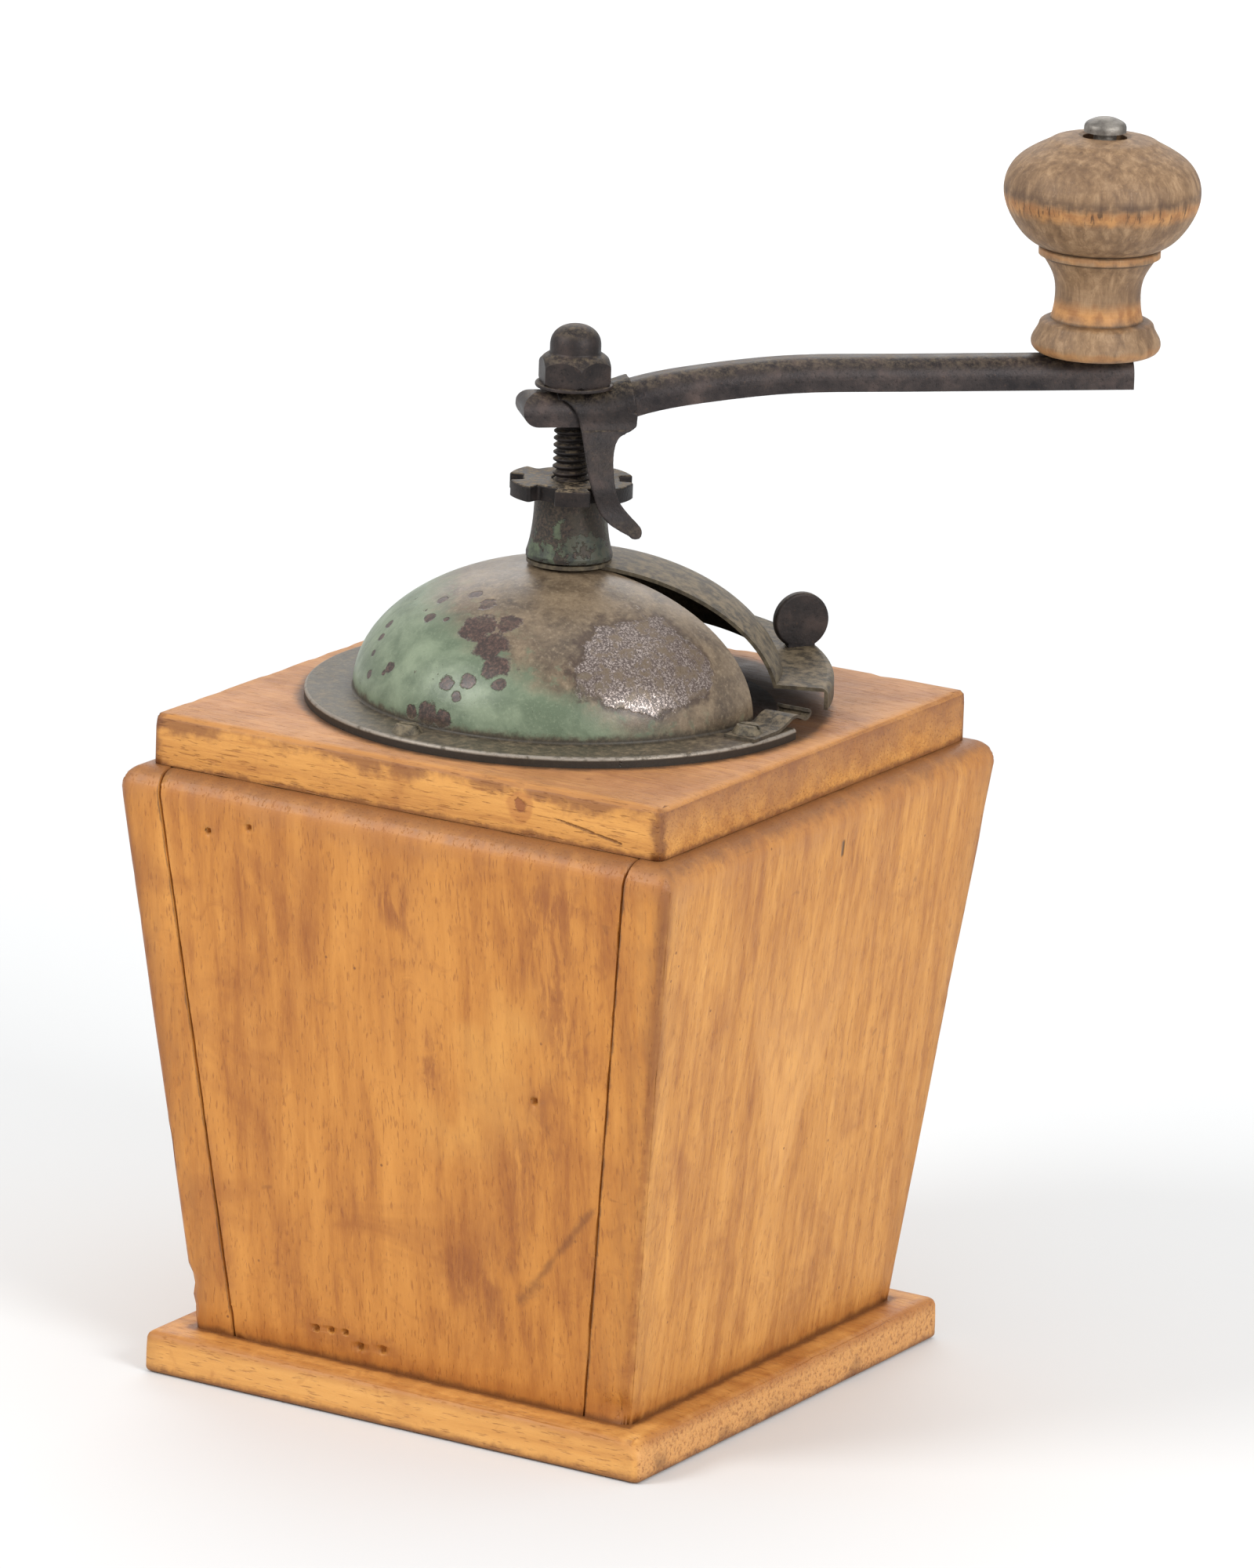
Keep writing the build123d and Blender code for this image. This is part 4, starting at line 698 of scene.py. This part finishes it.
BODY_WOOD = body_wood()
LID_WOOD = lid_wood()
BASE_WOOD = base_wood()
DRAWER_WOOD = drawer_wood()
KNOB_WOOD = knob_wood()
DRAWER_KNOB_WOOD = drawer_knob_wood()
HOPPER = hopper_paint()
NECK = neck_paint()
SHUTTER = dusty_sheet("shutter_sheet", srgb(96, 86, 68), srgb(62, 54, 43), 0.45)
STOP = dusty_sheet("stop_sheet", srgb(84, 75, 61), srgb(48, 42, 34), 0.40)
ARM_STEEL = rusty_steel("crank_steel", dust=0.30, shine=0.72, tone=1.35)
CLIP_STEEL = rusty_steel("clip_steel", dust=0.45, shine=0.62, seed=37.0, tone=1.08)
NUT_STEEL = rusty_steel("nut_steel", dust=0.75, shine=0.5, seed=81.0, tone=0.85)
THREAD_STEEL = rusty_steel("thread_steel", dust=0.4, shine=0.25, seed=113.0)
CAP_STEEL = rusty_steel("cap_steel", dust=0.35, shine=0.6, seed=150.0, tone=1.15)
TAB_STEEL = rusty_steel("tab_steel", dust=0.3, shine=0.6, seed=190.0, tone=1.1)
SCREW_STEEL = bright_steel("screw_steel")
RIVET_STEEL = bright_steel("rivet_steel")
FLANGE_SCREW_STEEL = dusty_sheet("flange_screw_steel", srgb(100, 92, 74), srgb(56, 50, 40), 0.5)
IRON = cast_iron()

FINISHES = {
    "base_board": BASE_WOOD, "side_board_left": BODY_WOOD, "side_board_right": BODY_WOOD,
    "back_panel": BODY_WOOD, "front_panel": BODY_WOOD, "drawer_front": BODY_WOOD, "top_board": LID_WOOD,
    "drawer_side_left": DRAWER_WOOD, "drawer_side_right": DRAWER_WOOD, "drawer_back": DRAWER_WOOD,
    "drawer_bottom": DRAWER_WOOD, "drawer_knob": DRAWER_KNOB_WOOD, "knob": KNOB_WOOD,
    "hopper_dome": HOPPER, "hopper_neck": NECK, "shutter": SHUTTER, "shutter_stop": STOP,
    "flange_screws": FLANGE_SCREW_STEEL, "thumb_tab": TAB_STEEL,
    "base_screws": SCREW_STEEL, "drawer_nails": SCREW_STEEL, "drawer_knob_screw": SCREW_STEEL,
    "housing_screws": SCREW_STEEL, "lower_bridge_screws": SCREW_STEEL, "burr_pin": SCREW_STEEL,
    "upper_bridge": SCREW_STEEL, "lower_bridge": SCREW_STEEL, "knob_pin": RIVET_STEEL,
    "mill_housing": IRON, "outer_burr": IRON, "burr_cone": IRON,
    "spindle": THREAD_STEEL, "adjusting_nut": NUT_STEEL, "locking_clip": CLIP_STEEL,
    "locking_tongue": CLIP_STEEL, "cap_washer": CAP_STEEL, "cap_nut": CAP_STEEL,
    "crank_arm": ARM_STEEL, "knob_washer": ARM_STEEL,
}
for node_name, finish in FINISHES.items():
    for slot in nodes[node_name].material_slots:
        slot.link = "OBJECT"
        slot.material = finish


# ---------------------------------------------------------------- shaped pieces
def mesh_piece(name, built, materials, body, replaced):
    """Turn a bmesh into a piece that rides on a body, or on none yet, in place of CAD nodes."""
    mesh = bpy.data.meshes.new(name)
    built.to_mesh(mesh)
    built.free()
    piece = bpy.data.objects.new(name, mesh)
    bpy.context.collection.objects.link(piece)
    for material in materials:
        mesh.materials.append(material)
    if body:
        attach(piece, body)
    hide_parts(*replaced)
    return piece


def shade(piece, angle=35.0):
    mesh = piece.data
    mesh.polygons.foreach_set("use_smooth", [True] * len(mesh.polygons))
    mesh.set_sharp_from_angle(angle=math.radians(angle))


def cad_copy(*names):
    """The welded mesh of one or more CAD nodes."""
    built = bmesh.new()
    for name in names:
        built.from_mesh(nodes[name].data)
    bmesh.ops.remove_doubles(built, verts=built.verts, dist=2e-6)
    for face in built.faces:
        face.material_index = 0
    return built


def clouds(point, period, seed=0.0):
    """Smooth noise from -1 to 1 at a point in mm."""
    return noise.noise(Vector((point.x / period + seed, point.y / period, point.z / period)))


def crumble(point, period, seed=0.0):
    """Rougher noise of three octaves, about -1 to 1."""
    return noise.fractal(Vector((point.x / period + seed, point.y / period, point.z / period)), 1.0, 2.0, 3)


def sliced(built, axis, places):
    """Cut a mesh by planes square to an axis, so that it has vertices to shape."""
    normal = Vector((0.0, 0.0, 0.0))
    normal[axis] = 1.0
    for place in places:
        at = Vector((0.0, 0.0, 0.0))
        at[axis] = place * MM
        bmesh.ops.bisect_plane(built, geom=built.verts[:] + built.edges[:] + built.faces[:], dist=1e-7,
                               plane_co=at, plane_no=normal)


def steps(start, end, pitch):
    count = max(2, round((end - start) / pitch))
    return [start + (end - start) * i / count for i in range(1, count)]


def half_width(z):
    return BODY_LOW_HALF + LEAN * (z - BODY_Z)


def wear_wall(point, seed):
    """How far (mm) a point of the case's outside is worn, as a shift along x, y and z."""
    half = half_width(point.z)
    inset_x = half - abs(point.x)
    inset_y = half - abs(point.y)
    shift = Vector((0.0, 0.0, 0.0))
    outside_x = inset_x < 1.6
    outside_y = inset_y < 1.6
    if not (outside_x or outside_y or point.z > LEDGE_Z - 3.0):
        return shift
    swell = 0.10 + 0.10 * clouds(point, 31.0, seed)
    nick = max(0.0, crumble(point, 7.0, seed + 5.0) - 0.18) * 0.6
    corner = max(0.0, 1.0 - max(inset_x, inset_y) / 3.2)
    inward = swell + corner * (0.18 + nick)
    if outside_x:
        shift.x -= math.copysign(inward, point.x)
    if outside_y:
        shift.y -= math.copysign(inward, point.y)
    if point.z > LEDGE_Z - 3.0:
        shift.z -= 0.10 + 0.12 * clouds(point, 12.0, seed) + 0.5 * nick
    return shift


def bruised(point, centre, reach, depth):
    """The depth of a soft round bruise at a point."""
    distance = (point - Vector(centre)).length
    return depth * max(0.0, 1.0 - (distance / reach) ** 2) ** 2


def worn_back_panel():
    """The let-in wall: ragged long edges beside the open seams, and nail holes."""
    built = cad_copy("back_panel")
    fine_x = set()
    fine_z = set()
    for (hole_x, hole_z), radius in NAIL_HOLES:
        for ring in (-1.3, -0.75, 0.0, 0.75, 1.3):
            fine_x.add(round(hole_x + ring * radius, 3))
            fine_z.add(round(hole_z + ring * radius, 3))
    sliced(built, 0, sorted(set(steps(-58.0, 58.0, 2.6)) | fine_x))
    sliced(built, 2, sorted(set(steps(BODY_Z, LEDGE_Z, 2.6)) | fine_z))
    for vertex in built.verts:
        point = vertex.co / MM
        half = half_width(point.z)
        shift = wear_wall(point, 3.0)
        gap_x = (half - 10.85) - abs(point.x)
        if gap_x < 0.2 and half + point.y < 6.0:
            ragged = 0.16 + 0.30 * max(0.0, crumble(point, 9.0, 11.0) + 0.1)
            near_top = max(0.0, (point.z - 118.0) / 16.0)
            shift.x -= math.copysign(ragged * (1.0 + near_top), point.x)
            if half + point.y < 0.8:
                shift.y += 0.14 + 0.25 * max(0.0, crumble(point, 5.0, 2.0))
        if half + point.y < 0.6:
            for (hole_x, hole_z), radius in NAIL_HOLES:
                distance = math.hypot(point.x - hole_x, point.z - hole_z)
                if distance < radius * 1.4:
                    shift.y += 2.2 * max(0.0, 1.0 - (distance / (radius * 1.3)) ** 2)
        vertex.co += shift * MM
    piece = mesh_piece("back_panel_worn", built, [BODY_WOOD], "case", ["back_panel"])
    shade(piece)


def worn_side_board(side, sign):
    """A side wall with rubbed corners; the near foot corners are dented and chipped."""
    name = "side_board_" + side
    built = cad_copy(name)
    sliced(built, 1, steps(-68.0, 68.0, 2.8))
    sliced(built, 2, steps(BODY_Z, LEDGE_Z, 2.4))
    sliced(built, 0, [sign * place for place in (50.0, 53.0, 56.0, 59.0, 62.0, 65.0)])
    for vertex in built.verts:
        point = vertex.co / MM
        shift = wear_wall(point, 40.0 + sign * 7.0)
        if side == "right":
            chip = bruised(point, (52.5, -55.3, 12.5), 4.2, 1.5)
            shift += Vector((-0.5, 1.0, 0.0)) * chip
        else:
            dent = bruised(point, (-55.6, -56.0, 19.5), 4.6, 1.1)
            dent += bruised(point, (-54.8, -55.2, 14.0), 3.2, 0.6)
            shift += Vector((0.9, 0.8, 0.0)) * dent
        vertex.co += shift * MM
    piece = mesh_piece(name + "_worn", built, [BODY_WOOD], "case", [name])
    shade(piece)


def worn_lid():
    """The top board, its arrises knocked and its corners rounded by handling."""
    built = cad_copy("top_board")
    sliced(built, 0, steps(-62.45, 62.45, 2.6))
    sliced(built, 1, steps(-62.45, 62.45, 2.6))
    sliced(built, 2, (136.5, 139.5, 142.0, 143.4, 144.3))
    for vertex in built.verts:
        point = vertex.co / MM
        inset_x = LID_HALF - abs(point.x)
        inset_y = LID_HALF - abs(point.y)
        inset = min(inset_x, inset_y)
        drop = LID_Z - point.z
        shift = Vector((0.0, 0.0, 0.0))
        nick = max(0.0, crumble(point, 8.0, 21.0) - 0.10) * 0.6
        top_edge = max(0.0, 1.0 - drop / 2.6)
        inward = 0.08 + 0.08 * clouds(point, 22.0, 8.0) + top_edge * (0.15 + nick)
        if inset_x < 1.2:
            shift.x -= math.copysign(inward, point.x)
        if inset_y < 1.2:
            shift.y -= math.copysign(inward, point.y)
        if drop < 1.0:
            rim = max(0.0, 1.0 - inset / 3.0)
            shift.z -= 0.05 + 0.05 * clouds(point, 14.0, 2.0) + rim * (0.12 + 0.8 * nick)
        radius = math.hypot(point.x, point.y)
        if radius < 58.0 and drop < 1.0:
            shift.z = min(0.0, shift.z * max(0.0, radius - 54.0) / 4.0)
        vertex.co += shift * MM
    piece = mesh_piece("top_board_worn", built, [LID_WOOD], "case", ["top_board"])
    shade(piece)


def worn_base():
    """The base board with bruised corners and a wavering arris."""
    built = cad_copy("base_board")
    sliced(built, 0, steps(-62.0, 62.0, 3.0))
    sliced(built, 1, steps(-62.0, 62.0, 3.0))
    sliced(built, 2, (1.2, 3.2, 5.2, 7.0, 8.2))
    for vertex in built.verts:
        point = vertex.co / MM
        inset_x = BASE_HALF - abs(point.x)
        inset_y = BASE_HALF - abs(point.y)
        shift = Vector((0.0, 0.0, 0.0))
        nick = max(0.0, crumble(point, 9.0, 61.0) - 0.12) * 1.3
        upper = max(0.0, (point.z - 4.5) / 4.7)
        inward = 0.08 + 0.08 * clouds(point, 26.0, 4.0) + upper * (0.15 + nick)
        if inset_x < 2.2:
            shift.x -= math.copysign(inward, point.x)
        if inset_y < 2.2:
            shift.y -= math.copysign(inward, point.y)
        if point.z > 8.6 and min(inset_x, inset_y) < 5.0:
            shift.z -= 0.10 + 0.5 * nick
        if point.z > 0.3:
            bump = bruised(point, (60.8, -60.8, 8.8), 4.0, 1.1)
            across = math.copysign(1.0, point.x) * (inset_x < 3.0)
            shift -= Vector((across, math.copysign(1.0, point.y), 0.6)) * bump
        vertex.co += shift * MM
    piece = mesh_piece("base_board_worn", built, [BASE_WOOD], "case", ["base_board"])
    shade(piece)


def threaded_spindle():
    """The mill's spindle with a true helical thread, a square for the arm and a stub for the cap nut."""
    thread_top, square_top = 207.8, 213.1
    square_half, square_corner, stub_radius = 2.75, 3.8, 2.7
    pitch, crest, root = 1.5, 4.0, 3.25
    thread_low, thread_high = NUT_Z - 4.5, 206.6
    levels = [65.0, 65.4, 77.4, 77.6, 90.0, 120.0, 150.0, 180.0]
    z = thread_low - 0.8
    while z < thread_high + 0.6:
        levels.append(z)
        z += pitch / 10
    levels += [207.75, 207.85, 213.05, 213.15, 221.7, 222.2]
    around = 48

    def radius(z, angle):
        if z < 65.2:
            return 2.6
        if z < 77.5:
            return 3.0
        if z < thread_low or thread_high + 0.2 < z < thread_top:
            return crest
        if z > 221.9:
            return 2.3
        if z > square_top:
            return stub_radius
        if z > thread_top:
            turned = angle - ARM_AZIMUTH
            return min(square_corner, square_half / max(abs(math.cos(turned)), abs(math.sin(turned))))
        phase = (z / pitch - angle / (2 * math.pi)) % 1.0
        tooth = abs(phase - 0.5) * 2.0
        return root + (crest - root) * min(1.0, max(0.0, (tooth - 0.12) / 0.66))

    built = bmesh.new()
    rings = []
    for z in levels:
        ring = []
        for step in range(around):
            angle = 2 * math.pi * step / around
            wear = 0.03 * noise.noise(Vector((math.cos(angle) * 3, math.sin(angle) * 3, z * 0.7)))
            r = radius(z, angle) - abs(wear)
            ring.append(built.verts.new((r * math.cos(angle) * MM, r * math.sin(angle) * MM, z * MM)))
        rings.append(ring)
    for low, high in zip(rings, rings[1:]):
        for step in range(around):
            following = (step + 1) % around
            built.faces.new((low[step], low[following], high[following], high[step]))
    built.faces.new(reversed(rings[0]))
    built.faces.new(rings[-1])
    piece = mesh_piece("threaded_spindle", built, [THREAD_STEEL], "crank", ["spindle"])
    shade(piece, 50.0)


def one_piece_clip():
    """The spring-sheet clip in one piece: saddle, leg and tongue run on without a break."""
    tongue = cad_copy("locking_tongue")
    for vertex in tongue.verts:
        if vertex.co.z > (SPLIT_Z - 0.15) * MM:
            vertex.co.z += 0.45 * MM
    lower = bpy.data.meshes.new("clip_tongue")
    tongue.to_mesh(lower)
    tongue.free()
    built = cad_copy("locking_clip")
    built.from_mesh(lower)
    piece = mesh_piece("locking_clip_sheet", built, [CLIP_STEEL], None, ["locking_clip", "locking_tongue"])
    bpy.data.meshes.remove(lower)
    remesh = piece.modifiers.new("knit", "REMESH")
    remesh.mode = "VOXEL"
    remesh.voxel_size = 0.22 * MM
    relax = piece.modifiers.new("relax", "SMOOTH")
    relax.factor = 0.5
    relax.iterations = 4
    graph = bpy.context.evaluated_depsgraph_get()
    knitted = bpy.data.meshes.new_from_object(piece.evaluated_get(graph))
    piece.modifiers.clear()
    old = piece.data
    piece.data = knitted
    bpy.data.meshes.remove(old)
    normals = [vertex.normal.copy() for vertex in knitted.vertices]
    for vertex, normal in zip(knitted.vertices, normals):
        vertex.co -= normal * 0.05 * MM * max(0.0, crumble(vertex.co / MM, 2.4, 71.0))
    knitted.polygons.foreach_set("use_smooth", [True] * len(knitted.polygons))
    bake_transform(piece)


worn_back_panel()
worn_side_board("left", -1.0)
worn_side_board("right", 1.0)
worn_lid()
worn_base()
threaded_spindle()
one_piece_clip()


# ---------------------------------------------------------------- floor, light and camera
def make_floor():
    mesh = bpy.data.meshes.new("floor")
    half = 6.0
    corners = [(-half, -half, 0), (half, -half, 0), (half, half, 0), (-half, half, 0)]
    mesh.from_pydata(corners, [], [(0, 1, 2, 3)])
    floor = bpy.data.objects.new("floor", mesh)
    bpy.context.collection.objects.link(floor)
    floor.location.z = -0.0002
    paint = Paint("floor_white")
    tone = paint.mix(paint.noise(400.0, detail=1.0), (0.69, 0.70, 0.705, 1.0), (0.70, 0.71, 0.715, 1.0))
    floor.data.materials.append(paint.finish(tone, 0.85))


def soft_light(name, place, aim, size, power):
    lamp = bpy.data.lights.new(name, "AREA")
    lamp.shape = "DISK"
    lamp.size = size
    lamp.energy = power
    holder = bpy.data.objects.new(name, lamp)
    bpy.context.collection.objects.link(holder)
    holder.location = place
    holder.rotation_euler = (Vector(aim) - Vector(place)).to_track_quat("-Z", "Y").to_euler()


def make_lights():
    mill = (0.0, 0.0, 0.12)
    world = bpy.data.worlds.new("studio")
    world.use_nodes = True
    world.node_tree.nodes["Background"].inputs["Color"].default_value = (1.0, 1.0, 1.0, 1.0)
    world.node_tree.nodes["Background"].inputs["Strength"].default_value = 0.74
    bpy.context.scene.world = world
    soft_light("key_light", (-0.9, -1.3, 1.2), mill, 0.8, 18.0)
    soft_light("side_light", (1.5, -0.5, 0.9), mill, 0.8, 17.5)
    soft_light("top_light", (0.1, 0.3, 1.8), mill, 1.4, 4.0)
    soft_light("backdrop_light", (-1.1, 2.0, 1.1), (-1.1, 2.0, 0.0), 2.2, 30.0)


def make_camera():
    azimuth, elevation, roll = (math.radians(angle) for angle in (31.24, 15.06, 1.92))
    distance, aim_right, aim_height = 2.1722, 0.01381, 0.12716
    back = Vector((math.sin(azimuth) * math.cos(elevation), -math.cos(azimuth) * math.cos(elevation),
                   math.sin(elevation)))
    right = Vector((math.cos(azimuth), math.sin(azimuth), 0.0))
    up = back.cross(right)
    camera_x = right * math.cos(roll) + up * math.sin(roll)
    camera_y = up * math.cos(roll) - right * math.sin(roll)
    data = bpy.data.cameras.new("camera")
    data.sensor_width = 36.0
    data.lens = 235.66
    camera = bpy.data.objects.new("camera", data)
    bpy.context.collection.objects.link(camera)
    place = Vector((0.0, 0.0, aim_height)) + right * aim_right + back * distance
    matrix = camera.matrix_world.copy()
    for row in range(3):
        for column, axis in enumerate((camera_x, camera_y, back, place)):
            matrix[row][column] = axis[row]
    camera.matrix_world = matrix
    data.clip_start, data.clip_end = 0.05, 50.0
    bpy.context.scene.camera = camera


make_floor()
make_lights()
make_camera()
bpy.context.scene.view_settings.view_transform = "Standard"
